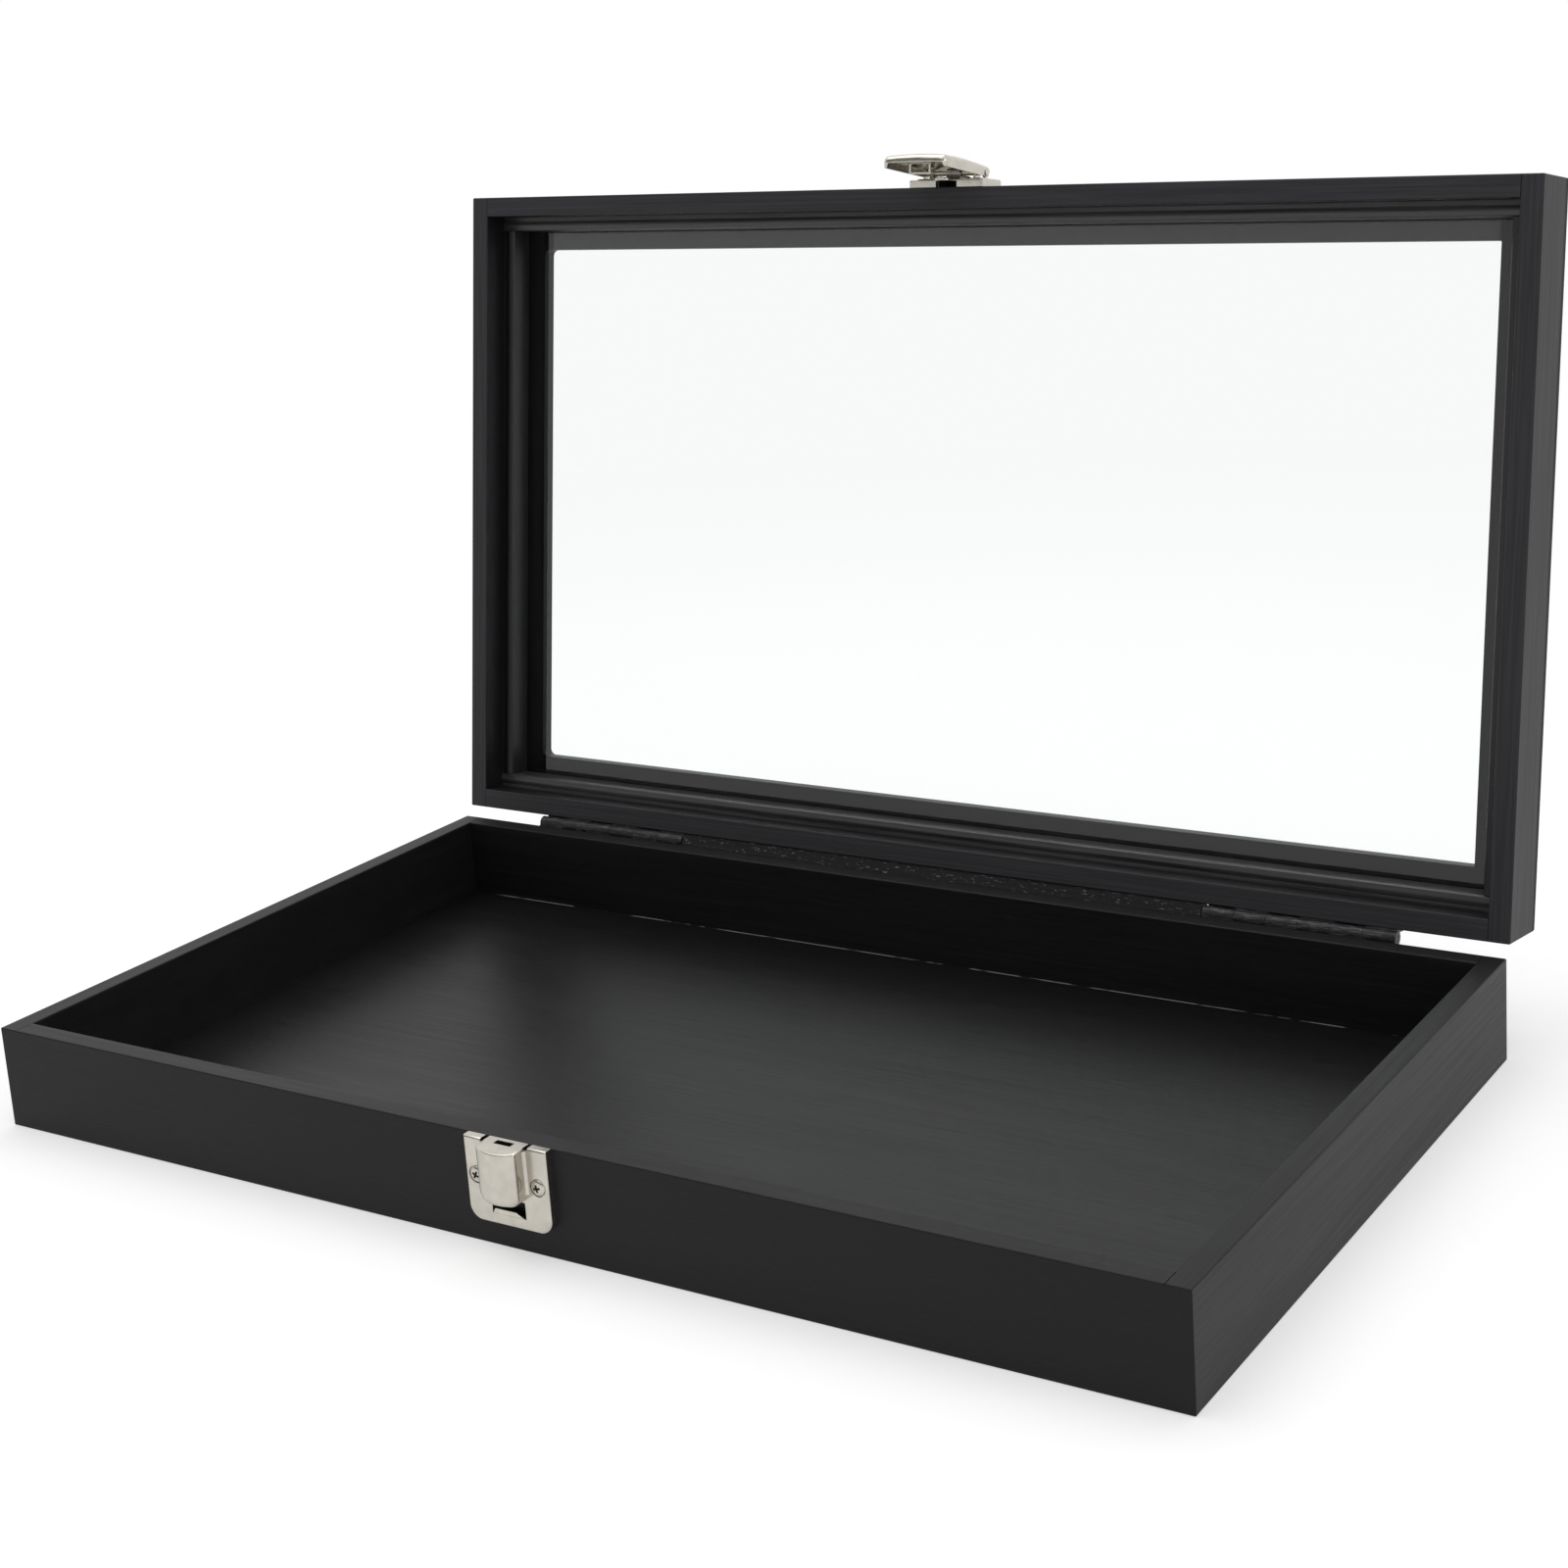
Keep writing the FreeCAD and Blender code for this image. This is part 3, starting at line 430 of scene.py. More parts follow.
def closed_up(shell, mesh):
    """Puts a closed shape in a mesh, with its doubles merged and its faces outwards."""
    bmesh.ops.remove_doubles(shell, verts=shell.verts, dist=MERGE)
    bmesh.ops.recalc_face_normals(shell, faces=shell.faces)
    shell.to_mesh(mesh)
    shell.free()
    return mesh


def turned(name, outline):
    """A closed shape turned on the lathe about Z from its outline of radius and height, in millimetres."""
    shell = bmesh.new()
    points = [shell.verts.new((radius * MM, 0, height * MM)) for radius, height in outline]
    lines = [shell.edges.new(pair) for pair in zip(points, points[1:])]
    bmesh.ops.spin(shell, geom=points + lines, cent=(0, 0, 0), axis=Z, angle=math.tau, steps=LATHE_SIDES)
    return closed_up(shell, bpy.data.meshes.new(name))


def outward(mesh):
    """Turns every face of a closed shape outwards."""
    shell = bmesh.new()
    shell.from_mesh(mesh)
    return closed_up(shell, mesh)


def cross_cut(mesh, reach, width, depth):
    """Cuts a tapering cross recess into the top of a screw; sizes are in millimetres."""
    cutter = bmesh.new()
    for turn in (0, math.pi / 2):
        for corner in bmesh.ops.create_cube(cutter, size=1.0)["verts"]:
            top = corner.co.z > 0
            share = 1.0 if top else CROSS_TAPER
            along = corner.co.x * 2 * reach * share
            across = corner.co.y * width * share
            place = Vector((along, across, CROSS_CLEAR if top else -depth))
            corner.co = Matrix.Rotation(turn, 3, "Z") @ place * MM
    cut_mesh = bpy.data.meshes.new("cross")
    cutter.to_mesh(cut_mesh)
    cutter.free()
    blade = bpy.data.objects.new("cross", cut_mesh)
    source = bpy.data.objects.new("screw_blank", mesh)
    for item in (blade, source):
        bpy.context.scene.collection.objects.link(item)
    cut = source.modifiers.new("cross", "BOOLEAN")
    cut.operation = "DIFFERENCE"
    cut.solver = "EXACT"
    cut.use_self = True
    cut.object = blade
    result = baked(source)
    bpy.data.objects.remove(blade)
    return result


def smooth(mesh, angle=35.0):
    """Shades a mesh smooth, apart from edges that turn by more than this many degrees."""
    mesh.shade_smooth()
    mesh.set_sharp_from_angle(angle=math.radians(angle))
    return mesh


# --- geometry node trees ---

def new_tree(name, sockets):
    """An empty geometry tree with named inputs; returns it with its input and output nodes."""
    tree = bpy.data.node_groups.new(name, "GeometryNodeTree")
    tree.interface.new_socket(name="Geometry", in_out="OUTPUT", socket_type="NodeSocketGeometry")
    for label, kind in sockets:
        tree.interface.new_socket(name=label, in_out="INPUT", socket_type="NodeSocket" + kind)
    return tree, node(tree, "NodeGroupInput").outputs, node(tree, "NodeGroupOutput").inputs


def close_tree(tree, shape, material, end):
    """Ends a tree with plain geometry in its finish."""
    real = node(tree, "GeometryNodeRealizeInstances", (shape,))
    finished = node(tree, "GeometryNodeSetMaterial", {"Geometry": real, "Material": material})
    tree.links.new(finished.outputs[0], end[0])


def grown(name, tree, values, points=()):
    """The plain mesh that a tree makes from its inputs and points."""
    mesh = bpy.data.meshes.new(name + "_points")
    mesh.from_pydata([tuple(point) for point in points], [], [])
    source = bpy.data.objects.new(name + "_source", mesh)
    modifier = source.modifiers.new("tree", "NODES")
    modifier.node_group = tree
    for item in tree.interface.items_tree:
        if item.in_out == "INPUT" and item.name in values:
            modifier[item.identifier] = values[item.name]
    bpy.context.scene.collection.objects.link(source)
    return baked(source)


def screw_tree():
    """Sets one screw at each point, facing one way, each with its cross stopped at its own angle."""
    sockets = [("Points", "Geometry"), ("Screw", "Object"), ("Facing", "Vector"), ("Seed", "Int"),
               ("Finish", "Material")]
    tree, start, end = new_tree("set screws", sockets)
    screw = node(tree, "GeometryNodeObjectInfo", {"Object": start["Screw"]}, transform_space="ORIGINAL")
    facing = node(tree, "FunctionNodeAlignRotationToVector", {"Vector": start["Facing"]}, axis="Z")
    values = {2: 0.0, 3: math.pi / 2, "Seed": start["Seed"]}
    angle = node(tree, "FunctionNodeRandomValue", values, data_type="FLOAT").outputs[1]
    turn = node(tree, "FunctionNodeAxisAngleToRotation", {"Axis": (0, 0, 1), "Angle": angle})
    both = node(tree, "FunctionNodeRotateRotation", (facing, turn), rotation_space="LOCAL")
    values = {"Points": start["Points"], "Instance": screw.outputs["Geometry"], "Rotation": both}
    close_tree(tree, node(tree, "GeometryNodeInstanceOnPoints", values), start["Finish"], end)
    return tree


def strip_tree():
    """Runs a moulding's profile along a straight line, with a hand-sanded waver in its face."""
    sockets = [("From", "Vector"), ("To", "Vector"), ("Profile", "Object"), ("Waver", "Float"),
               ("Step", "Float"), ("Finish", "Material")]
    tree, start, end = new_tree("moulded strip", sockets)
    line = node(tree, "GeometryNodeCurvePrimitiveLine", {"Start": start["From"], "End": start["To"]})
    values = {"Curve": line, "Length": start["Step"]}
    stepped = node(tree, "GeometryNodeResampleCurve", values, mode="LENGTH")
    upright = node(tree, "GeometryNodeSetCurveNormal", {"Curve": stepped}, mode="Z_UP")
    profile = node(tree, "GeometryNodeObjectInfo", {"Object": start["Profile"]}, transform_space="ORIGINAL")
    values = {"Curve": upright, "Profile Curve": profile.outputs["Geometry"], "Fill Caps": True}
    swept = node(tree, "GeometryNodeCurveToMesh", values)
    place = node(tree, "GeometryNodeInputPosition")
    waves = node(tree, "ShaderNodeTexNoise", {"Vector": place, "Scale": 1 / (9 * MM), "Detail": 2.0})
    centred = node(tree, "ShaderNodeMath", (waves, 0.5), operation="SUBTRACT")
    waver = node(tree, "ShaderNodeMath", (centred, start["Waver"]), operation="MULTIPLY")
    # Only the face on the rim's side wavers: the foot lies flat on the pane.
    level = node(tree, "ShaderNodeSeparateXYZ", (place,)).outputs[2]
    on_face = node(tree, "FunctionNodeCompare", (level, LID_RIM + FACE_DEPTH), operation="LESS_THAN")
    shift = node(tree, "ShaderNodeCombineXYZ", {"Z": waver})
    values = {"Geometry": swept, "Selection": on_face, "Offset": shift}
    close_tree(tree, node(tree, "GeometryNodeSetPosition", values), start["Finish"], end)
    return tree


def spring_tree():
    """Coils a wire about X and adds its two straight legs."""
    sockets = [("Centre", "Vector"), ("Coil radius", "Float"), ("Wire radius", "Float"), ("Turns", "Float"),
               ("Length", "Float"), ("Lower leg", "Float"), ("Upper leg", "Float"), ("Finish", "Material")]
    tree, start, end = new_tree("coil spring", sockets)
    radius = start["Coil radius"]
    values = {"Resolution": 28, "Rotations": start["Turns"], "Start Radius": radius, "End Radius": radius,
              "Height": start["Length"]}
    coil = node(tree, "GeometryNodeCurveSpiral", values)
    near = node(tree, "ShaderNodeMath", (start["Length"], -0.5), operation="MULTIPLY")
    far = node(tree, "ShaderNodeMath", (start["Length"], 0.5), operation="MULTIPLY")
    # The spiral rises along Z from +X: laid along X it starts on the side of +Y.
    values = {"Geometry": coil, "Rotation": (math.pi / 2, 0, math.pi / 2)}
    laid = node(tree, "GeometryNodeTransform", values)
    shift = node(tree, "ShaderNodeCombineXYZ", {"X": near})
    laid = node(tree, "GeometryNodeTransform", {"Geometry": laid, "Translation": shift})
    down = node(tree, "ShaderNodeMath", (start["Lower leg"], -1.0), operation="MULTIPLY")
    out = node(tree, "ShaderNodeMath", (start["Upper leg"], -1.0), operation="MULTIPLY")
    legs = [({"X": near, "Y": radius}, {"X": near, "Y": radius, "Z": down}),
            ({"X": far, "Z": radius}, {"X": far, "Y": out, "Z": radius})]
    whole = node(tree, "GeometryNodeJoinGeometry")
    tree.links.new(laid.outputs[0], whole.inputs[0])
    for root, tip in legs:
        values = [node(tree, "ShaderNodeCombineXYZ", place) for place in (root, tip)]
        leg = node(tree, "GeometryNodeCurvePrimitiveLine", {"Start": values[0], "End": values[1]})
        tree.links.new(leg.outputs[0], whole.inputs[0])
    wire = node(tree, "GeometryNodeCurvePrimitiveCircle", {"Resolution": 10, "Radius": start["Wire radius"]})
    solid = node(tree, "GeometryNodeCurveToMesh", {"Curve": whole, "Profile Curve": wire, "Fill Caps": True})
    soft = node(tree, "GeometryNodeSetShadeSmooth", {"Geometry": solid})
    placed = node(tree, "GeometryNodeTransform", {"Geometry": soft, "Translation": start["Centre"]})
    close_tree(tree, placed, start["Finish"], end)
    return tree


# --- settings ---

def tint(name, description, value):
    """A colour setting, from its sRGB hex value."""
    return bpy.props.FloatVectorProperty(name=name, description=description, default=linear(value),
                                         subtype="COLOR", size=3, min=0, max=1)


def number(name, description, value, **limits):
    """A setting that is a size, a power or a share."""
    return bpy.props.FloatProperty(name=name, description=description, default=value, **limits)


class CasePaint(bpy.types.PropertyGroup):
    deep: tint("Deep tone", "Colour of the lacquer where it lies thick", "#111113")
    body: tint("Body tone", "Colour of the lacquer over most of a board", "#18181a")
    grain: tint("Grain tone", "Colour of the fibres that show through", "#262627")
    rim: tint("Rim tone", "Colour of the tray's sanded rims", "#1b1b1d")
    # The lid's rim tone is a painted sheen: lighter than the tray's rim, though both are sanded alike.
    lid_rim_sheen: tint("Lid rim tone", "Colour of the lid's sanded rims", "#3d3d40")
    # The strip tone lightens only the strips along X, above and below the pane: a painted sheen.
    strip: tint("Strip tone", "Colour of the thin lacquer on the strips round the pane", "#434345")
    bare: tint("Bare edge", "Colour of a raw edge that the lacquer missed", "#8c8880")
    dust: tint("Dust", "Colour of the few specks of dust", "#b9b9b6")
    fibre_length: number("Fibre length", "Length of a streak of grain, in mm", 55.0, min=1.0)
    fibre_width: number("Fibre width", "Width of a streak of grain, in mm", 0.9, min=0.1)
    relief: number("Relief", "Depth of the grain under the lacquer, in mm", 0.03, min=0.0)


class CaseMetal(bpy.types.PropertyGroup):
    nickel: tint("Nickel", "Colour of the catch's plating", "#c6c2b8")
    nickel_roughness: number("Nickel roughness", "Blur of the plating's mirror", 0.2, subtype="FACTOR",
                             min=0.05, max=1.0)
    steel: tint("Steel", "Colour of bare steel", "#c4c2bd")
    blackened: tint("Blackened steel", "Colour of the hinges' black finish", "#161617")
    edge: number("Pressed edge", "Rounding of the sheet's edges", 0.12 * MM, unit="LENGTH", min=0.0)


class CaseGlass(bpy.types.PropertyGroup):
    colour: tint("Glass", "What the pane lets through", "#f7f9f9")


class CaseStrips(bpy.types.PropertyGroup):
    width: number("Width", "Width of the moulded strips", 4.7 * MM, unit="LENGTH", min=0.001)
    waver: number("Waver", "How far the bead's face wavers", 0.16 * MM, unit="LENGTH", min=0.0)
    step: number("Step", "Spacing of the strips' sections", 2.0 * MM, unit="LENGTH", min=0.0005)


class CaseStudio(bpy.types.PropertyGroup):
    floor: tint("Floor", "Colour of the studio sheet", "#d8d8d8")
    lift: number("Floor lift", "Light that the sheet shows of its own", 0.45)
    fill: number("Fill", "Strength of the soft light from all round", 0.55)
    dim: number("Dim side", "Strength of the room mirrored from the front", 0.15)
    overhead: number("Overhead lamp", "Power of the lamp above", 9.0, unit="POWER")
    side: number("Side lamp", "Power of the lamp at the right", 4.4, unit="POWER")
    lens: number("Lens", "The camera's focal length", 60.72, unit="CAMERA")


class CaseSettings(bpy.types.PropertyGroup):
    paint: bpy.props.PointerProperty(type=CasePaint, name="Paint", description="The black lacquer")
    metal: bpy.props.PointerProperty(type=CaseMetal, name="Metal", description="Catch, hinges and screws")
    glass: bpy.props.PointerProperty(type=CaseGlass, name="Glass", description="The lid's pane")
    strips: bpy.props.PointerProperty(type=CaseStrips, name="Strips", description="Strips that hold the pane")
    studio: bpy.props.PointerProperty(type=CaseStudio, name="Studio", description="Floor, lamps and camera")


# --- operators ---

class CASE_OT_tray(bpy.types.Operator):
    """Lacquer the tray's boards, its floor and the batten behind it"""
    bl_idname = "case.tray"
    bl_label = "Tray"

    def execute(self, context):
        cross = painted_wood("lacquered wood, grain along X", 0)
        sides = painted_wood("lacquered wood, grain along Y", 1)
        for end in ("front", "back"):
            finish_node("tray_%s_board" % end, cross)
        for side in ("left", "right"):
            finish_node("tray_%s_board" % side, sides)
        # The floor panel takes the deep tone all over, darker than the boards: a painted shade of the tray's
        # floor.
        panel = painted_wood("lacquered floor panel", 0, sheen=0.37, level=0.25, seam=True,
                             tones=("deep", "deep"))
        finish_node("tray_bottom_panel", panel)
        finish_node("back_stop_batten", painted_wood("lacquered batten", 0, worn=0.7))
        return {"FINISHED"}


class CASE_OT_lid(bpy.types.Operator):
    """Lacquer the lid's boards and the frame round its window"""
    bl_idname = "case.lid"
    bl_label = "Lid"

    def execute(self, context):
        cross = painted_wood("lacquered lid wood, grain along X", 0, on_lid=True)
        sides = painted_wood("lacquered lid wood, grain along Y", 1, on_lid=True)
        # The window's frame is rubbed down duller than the boards, and takes the deep tone all over: a
        # painted shade.
        dull_and_shaded = {"on_lid": True, "sheen": 0.5, "level": 0.08, "tones": ("deep", "deep")}
        rails = painted_wood("lacquered window rail, grain along X", 0, **dull_and_shaded)
        stiles = painted_wood("lacquered window stile, grain along Y", 1, **dull_and_shaded)
        for end in ("front", "back"):
            finish_node("lid_%s_board" % end, cross)
            finish_node("face_rail_" + end, rails)
        for side in ("left", "right"):
            finish_node("lid_%s_board" % side, sides)
            finish_node("face_stile_" + side, stiles)
        return {"FINISHED"}


class CASE_OT_strips(bpy.types.Operator):
    """Run the moulded strips round the pane"""
    bl_idname = "case.strips"
    bl_label = "Moulded strips"

    def profile(self, width):
        """The strip's section: points across from the wall and down from the lid's rim, in millimetres.

        A flat fillet lies at the wall, and after it come a narrow quirk, a rounded bead and a rounded edge.
        """
        pane = 17.5
        fillet = 9.3
        quirk = 9.9
        quirk_start = 1.2
        bead_start = 1.55
        bead_width = 2.55
        bead_level = 9.25
        bead_rise = 0.45
        outline = [(0, pane), (0, fillet), (quirk_start, fillet), (quirk_start, quirk), (bead_start, quirk)]
        for share in (0.0, 0.15, 0.3, 0.45, 0.6, 0.75, 0.9):
            rise = bead_rise * math.sin(math.pi * (0.1 + 0.75 * share))
            outline.append((bead_start + share * bead_width, bead_level - rise))
        outline += [(width - 0.6, 8.95), (width - 0.3, 9.08), (width - 0.1, 9.35), (width, 9.7)]
        outline.append((width, pane))
        return outline

    def execute(self, context):
        look = context.scene.display_case.strips
        tree = strip_tree()
        curve = bpy.data.curves.new("strip_profile", "CURVE")
        curve.dimensions = "2D"
        curve.fill_mode = "NONE"
        outline = self.profile(look.width / MM)
        spline = curve.splines.new("POLY")
        spline.points.add(len(outline) - 1)
        for spot, (across, depth) in zip(spline.points, outline):
            spot.co = (across * MM, -depth * MM, 0, 1)
        spline.use_cyclic_u = True
        profile = bpy.data.objects.new("strip_profile", curve)
        context.scene.collection.objects.link(profile)
        reach = INNER_Y - look.width
        # Each strip runs with its wall on its left hand.
        runs = {"front": ((INNER_X, -INNER_Y), (-INNER_X, -INNER_Y), 0),
                "back": ((-INNER_X, INNER_Y), (INNER_X, INNER_Y), 0),
                "left": ((-INNER_X, -reach), (-INNER_X, reach), 1),
                "right": ((INNER_X, reach), (INNER_X, -reach), 1)}
        # The strips along X take the lighter strip tone, a painted sheen; the strips along Y keep the boards'
        # tones.
        cross = painted_wood("lacquered strip, grain along X", 0, on_lid=True, sheen=0.36, level=0.6,
                             worn=0.1, tones=("body", "strip"))
        sides = painted_wood("lacquered strip, grain along Y", 1, on_lid=True, sheen=0.4, level=0.45,
                             worn=0.06)
        finishes = (cross, sides)
        for name, (start, stop, grain) in runs.items():
            values = {"From": (*start, LID_RIM), "To": (*stop, LID_RIM), "Profile": profile,
                      "Waver": look.waver, "Step": look.step, "Finish": finishes[grain]}
            mesh = smooth(outward(grown("glass_stop_" + name, tree, values)), 40.0)
            mesh.transform(OPENED)
            new_piece("moulded_strip_" + name, mesh, None, "lid", "black_wood", "glass_stop_" + name)
        bpy.data.objects.remove(profile)
        return {"FINISHED"}


class CASE_OT_glass(bpy.types.Operator):
    """Glaze the lid"""
    bl_idname = "case.glass"
    bl_label = "Pane"

    def execute(self, context):
        finish_node("glass_pane", float_glass("clear float glass"))
        return {"FINISHED"}


class CASE_OT_hinges(bpy.types.Operator):
    """Round over the hinge leaves and pins, and blacken them"""
    bl_idname = "case.hinges"
    bl_label = "Hinges"

    def execute(self, context):
        black = blackened_steel("blackened steel strip")
        bright = drawn_steel("drawn steel rod")
        for side in ("left", "right"):
            for body in ("tray", "lid"):
                name = "hinge_%s_%s_leaf" % (side, body)
                new_piece("rolled_" + name, eased(name), black, body, "black_steel", name)
            name = "hinge_%s_pin" % side
            new_piece("drawn_" + name, eased(name), black, "tray", "black_steel", name)
        for name in ("tray_corner_brads", "lid_corner_brads", "batten_brads"):
            finish_node(name, bright)
        return {"FINISHED"}


class CASE_OT_catch(bpy.types.Operator):
    """Round over and plate the catch's pressings"""
    bl_idname = "case.catch"
    bl_label = "Catch"

    def execute(self, context):
        nickel = plated_nickel("bright nickel plate")
        bodies = {"keeper_plate": "tray", "latch_base_plate": "lid", "latch_pivot_pin": "lid",
                  "latch_lever": "latch_lever", "latch_hook": "latch_lever"}
        for name, body in bodies.items():
            new_piece("pressed_" + name, eased(name), nickel, body, "nickel", name)
        return {"FINISHED"}


class CASE_OT_spring(bpy.types.Operator):
    """Coil the catch's spring"""
    bl_idname = "case.spring"
    bl_label = "Catch spring"

    def execute(self, context):
        low, high = [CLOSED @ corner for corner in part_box("latch_pivot_pin")]
        centre = (low + high) / 2
        values = {"Centre": centre, "Coil radius": 1.45 * MM, "Wire radius": 0.25 * MM, "Turns": 8.25,
                  "Length": 4.95 * MM, "Lower leg": 5.5 * MM, "Upper leg": 2.6 * MM,
                  "Finish": drawn_steel("drawn spring wire")}
        mesh = grown("latch_spring", spring_tree(), values)
        mesh.transform(OPENED)
        new_piece("coiled_latch_spring", mesh, None, "latch_lever", "steel", "latch_spring")
        return {"FINISHED"}


class CASE_OT_screws(bpy.types.Operator):
    """Drive the catch's domed screws and the hinges' countersunk ones"""
    bl_idname = "case.screws"
    bl_label = "Screws"

    def domed(self, name, radius, height, shank, length):
        """A round-headed screw with its crown at the origin; sizes are in millimetres."""
        rise = 0.9 * height
        point = 1.5
        outline = []
        for step in range(0, 91, 15):
            angle = math.radians(step)
            outline.append((radius * math.sin(angle), rise * (math.cos(angle) - 1)))
        outline += [(radius, -height), (shank, -height), (shank, point - height - length)]
        outline.append((0, -height - length))
        return cross_cut(turned(name, outline), reach=radius * 0.6, width=0.8, depth=height * 0.65)

    def sunk(self, name):
        """A countersunk screw with its flat head at the origin; sizes are in millimetres."""
        outline = [(0, 0), (1.95, 0), (2.1, -0.1), (1.0, -1.1), (1.0, -4.5), (0, -6.0)]
        return cross_cut(turned(name, outline), reach=1.26, width=0.64, depth=0.65)

    def darken(self, mesh, heads, recess_shade):
        """Gives the faces of each cross the darker finish of a painted shade: they lie below the crown, near
        the axis.
        """
        mesh.materials.append(recess_shade)
        for face in mesh.polygons:
            for head in heads:
                off = face.center - head
                if RECESS_SHADE_TOP < abs(off.y) < RECESS_SHADE_FOOT and off.length < RECESS_SHADE_REACH:
                    face.material_index = len(mesh.materials) - 1

    def execute(self, context):
        # The faces in each screw's cross take a darker nickel: a painted shade in the recess.
        recess_shade = dark_recess("shade_darkened nickel in the crosses")
        finishes = {"nickel": plated_nickel("bright nickel plate on screws"),
                    "black_steel": blackened_steel("blackened steel screws")}
        high = self.domed("domed", radius=2.25, height=1.0, shank=1.2, length=8.0)
        low = self.domed("low_domed", radius=2.0, height=0.8, shank=1.0, length=7.6)
        # Each set's body and slot, its screw, which way along Y the heads face, and its seed.
        sets = {"keeper_screws": ("tray", "nickel", high, -1, 4),
                "latch_base_screws": ("lid", "nickel", low, -1, 9),
                "tray_hinge_screws": ("tray", "black_steel", self.sunk("sunk"), 1, 2),
                "lid_hinge_screws": ("lid", "black_steel", self.sunk("sunk_lid"), 1, 6)}
        tree = screw_tree()
        for name, (body, slot, mesh, way, seed) in sets.items():
            space = CLOSED if body == "lid" else Matrix.Identity(4)
            screw = bpy.data.objects.new(name + "_pattern", smooth(mesh))
            context.scene.collection.objects.link(screw)
            heads = []
            for lowest, highest in islands(name, space):
                middle = (lowest + highest) / 2
                heads.append(Vector((middle.x, lowest.y if way < 0 else highest.y, middle.z)))
            values = {"Screw": screw, "Facing": Y * way, "Seed": seed, "Finish": finishes[slot]}
            driven = grown(name, tree, values, heads)
            self.darken(driven, heads, recess_shade)
            driven.transform(space.inverted())
            new_piece("driven_" + name, driven, None, body, slot, name)
            bpy.data.objects.remove(screw)
        return {"FINISHED"}


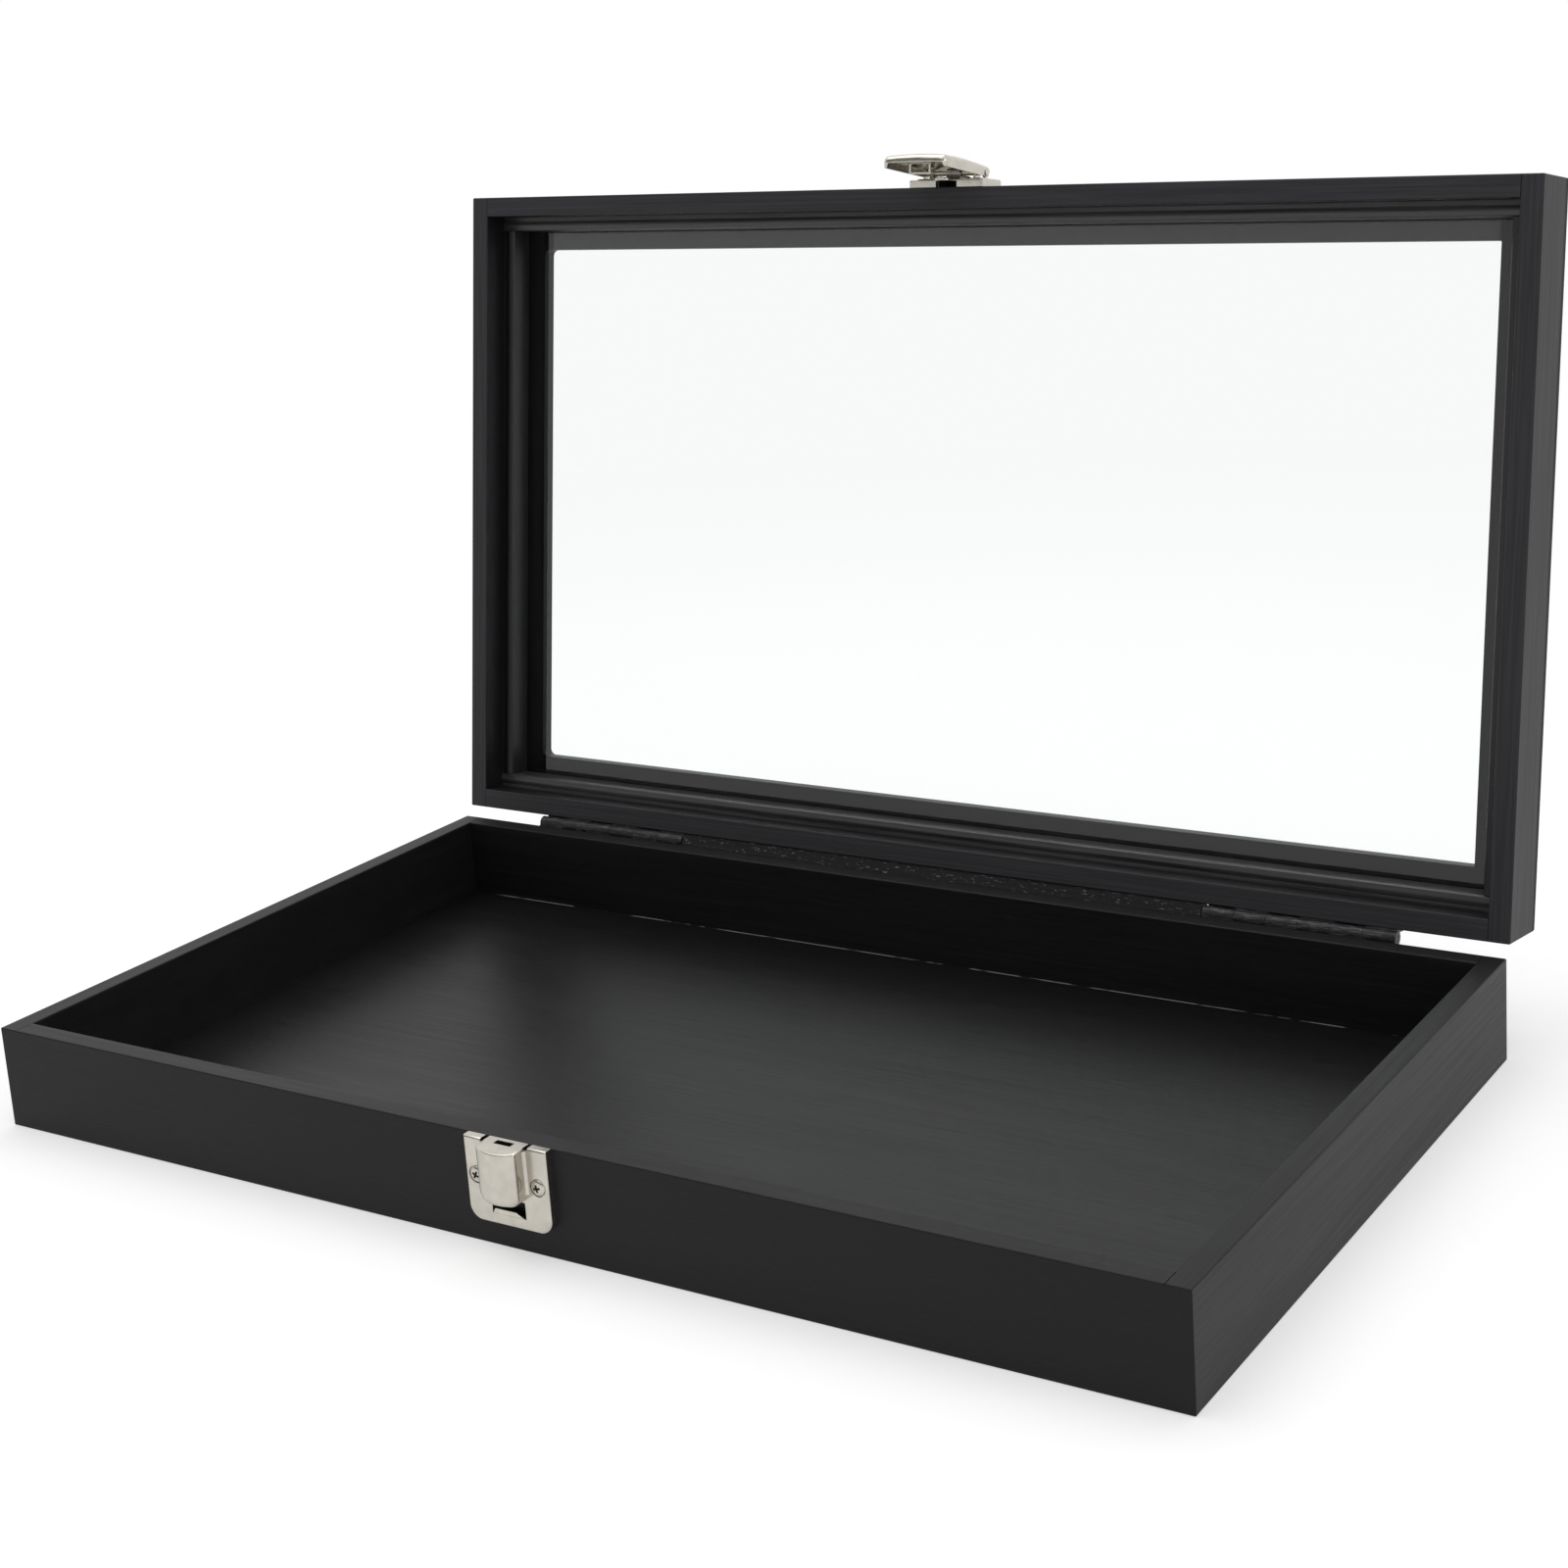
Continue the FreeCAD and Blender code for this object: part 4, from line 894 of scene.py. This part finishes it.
class CASE_OT_stage(bpy.types.Operator):
    """Lay the studio sheet, hang the lamps and set the camera"""
    bl_idname = "case.stage"
    bl_label = "Studio"

    def lamp(self, name, power, place, aim, width, height):
        """A flat lamp of this many metres at a place, turned to what it is aimed at."""
        light = bpy.data.lights.new(name, "AREA")
        light.shape = "RECTANGLE"
        light.size = width
        light.size_y = height
        light.energy = power
        holder = bpy.data.objects.new(name, light)
        holder.location = place
        holder.rotation_euler = (Vector(aim) - Vector(place)).to_track_quat("-Z", "Y").to_euler()
        bpy.context.scene.collection.objects.link(holder)

    def sheet(self):
        """The studio sheet, a round one just under the case."""
        shell = bmesh.new()
        bmesh.ops.create_circle(shell, cap_ends=True, segments=96, radius=14.0)
        bmesh.ops.translate(shell, verts=shell.verts, vec=(0, 0, -0.05 * MM))
        mesh = bpy.data.meshes.new("studio_sheet")
        shell.to_mesh(mesh)
        shell.free()
        mesh.materials.append(studio_floor("white studio sheet"))
        floor = bpy.data.objects.new("studio_sheet", mesh)
        bpy.context.scene.collection.objects.link(floor)

    def room(self, look):
        """The soft light from all round, and what the case's gloss mirrors."""
        world = bpy.data.worlds.new("soft white room")
        bpy.context.scene.world = world
        world.use_nodes = True
        tree = world.node_tree
        tree.nodes.clear()
        direct, seen = sight(tree)
        # Mirrored, the room is white behind the case and overhead, and dim in front, in a band that starts
        # above the sheet's far end.
        way = node(tree, "ShaderNodeSeparateXYZ", (node(tree, "ShaderNodeTexCoord").outputs["Generated"],))
        front = node(tree, "ShaderNodeMapRange", (way.outputs[1], -0.45, -0.1, 1.0, 0.0))
        foot = node(tree, "ShaderNodeMapRange", (way.outputs[2], 0.18, 0.3))
        top = node(tree, "ShaderNodeMapRange", (way.outputs[2], 0.5, 0.75, 1.0, 0.0))
        band = node(tree, "ShaderNodeMath", (foot, top), operation="MULTIPLY")
        band = node(tree, "ShaderNodeMath", (front, band), operation="MULTIPLY")
        band = node(tree, "ShaderNodeMath", (band, direct), operation="SUBTRACT", use_clamp=True)
        shown = node(tree, "ShaderNodeMapRange", (band, 0.0, 1.0, 1.0, look.dim))
        strength = node(tree, "ShaderNodeMix", {0: seen, 2: look.fill, 3: shown}, data_type="FLOAT")
        light = node(tree, "ShaderNodeBackground", {"Color": (1, 1, 1, 1), "Strength": strength})
        node(tree, "ShaderNodeOutputWorld", {"Surface": light})

    def camera(self, look):
        """The camera, at the front right of the case and a little above it."""
        camera = bpy.data.cameras.new("camera")
        camera.lens = look.lens
        camera.sensor_width = 36.0
        camera.shift_y = CAMERA_SHIFT
        holder = bpy.data.objects.new("camera", camera)
        heading, tilt, roll = (math.radians(angle) for angle in CAMERA_TURN)
        turn = Matrix.Rotation(heading, 4, "Z") @ Matrix.Rotation(math.pi / 2 - tilt, 4, "X")
        holder.matrix_world = Matrix.Translation(CAMERA_PLACE) @ turn @ Matrix.Rotation(roll, 4, "Z")
        bpy.context.scene.collection.objects.link(holder)
        bpy.context.scene.camera = holder

    def execute(self, context):
        look = context.scene.display_case.studio
        self.sheet()
        self.room(look)
        self.lamp("overhead_lamp", look.overhead, place=(-0.3, 0.2, 1.5), aim=(0, 0, 0.05), width=1.6,
                  height=1.2)
        self.lamp("side_lamp", look.side, place=(1.5, -0.2, 0.7), aim=(0, 0, 0.1), width=1.0, height=1.0)
        self.camera(look)
        context.scene.view_settings.view_transform = "Standard"
        return {"FINISHED"}


STEPS = (CASE_OT_stage, CASE_OT_tray, CASE_OT_lid, CASE_OT_strips, CASE_OT_glass, CASE_OT_hinges,
         CASE_OT_catch, CASE_OT_spring, CASE_OT_screws)


class CASE_PT_panel(bpy.types.Panel):
    """The case's pieces and settings"""
    bl_idname = "CASE_PT_panel"
    bl_label = "Display case"
    bl_space_type = "VIEW_3D"
    bl_region_type = "UI"
    bl_category = "Display case"

    def draw(self, context):
        for step in STEPS:
            self.layout.operator(step.bl_idname)
        case = context.scene.display_case
        for group in (case.paint, case.metal, case.glass, case.strips, case.studio):
            box = self.layout.box()
            for setting in group.__annotations__:
                box.prop(group, setting)


CLASSES = (CasePaint, CaseMetal, CaseGlass, CaseStrips, CaseStudio, CaseSettings) + STEPS + (CASE_PT_panel,)


def register():
    for item in CLASSES:
        bpy.utils.register_class(item)
    bpy.types.Scene.display_case = bpy.props.PointerProperty(type=CaseSettings)


def unregister():
    del bpy.types.Scene.display_case
    for item in reversed(CLASSES):
        bpy.utils.unregister_class(item)


def main():
    register()
    for step in STEPS:
        group, action = step.bl_idname.split(".")
        getattr(getattr(bpy.ops, group), action)()


if __name__ == "__main__":
    main()
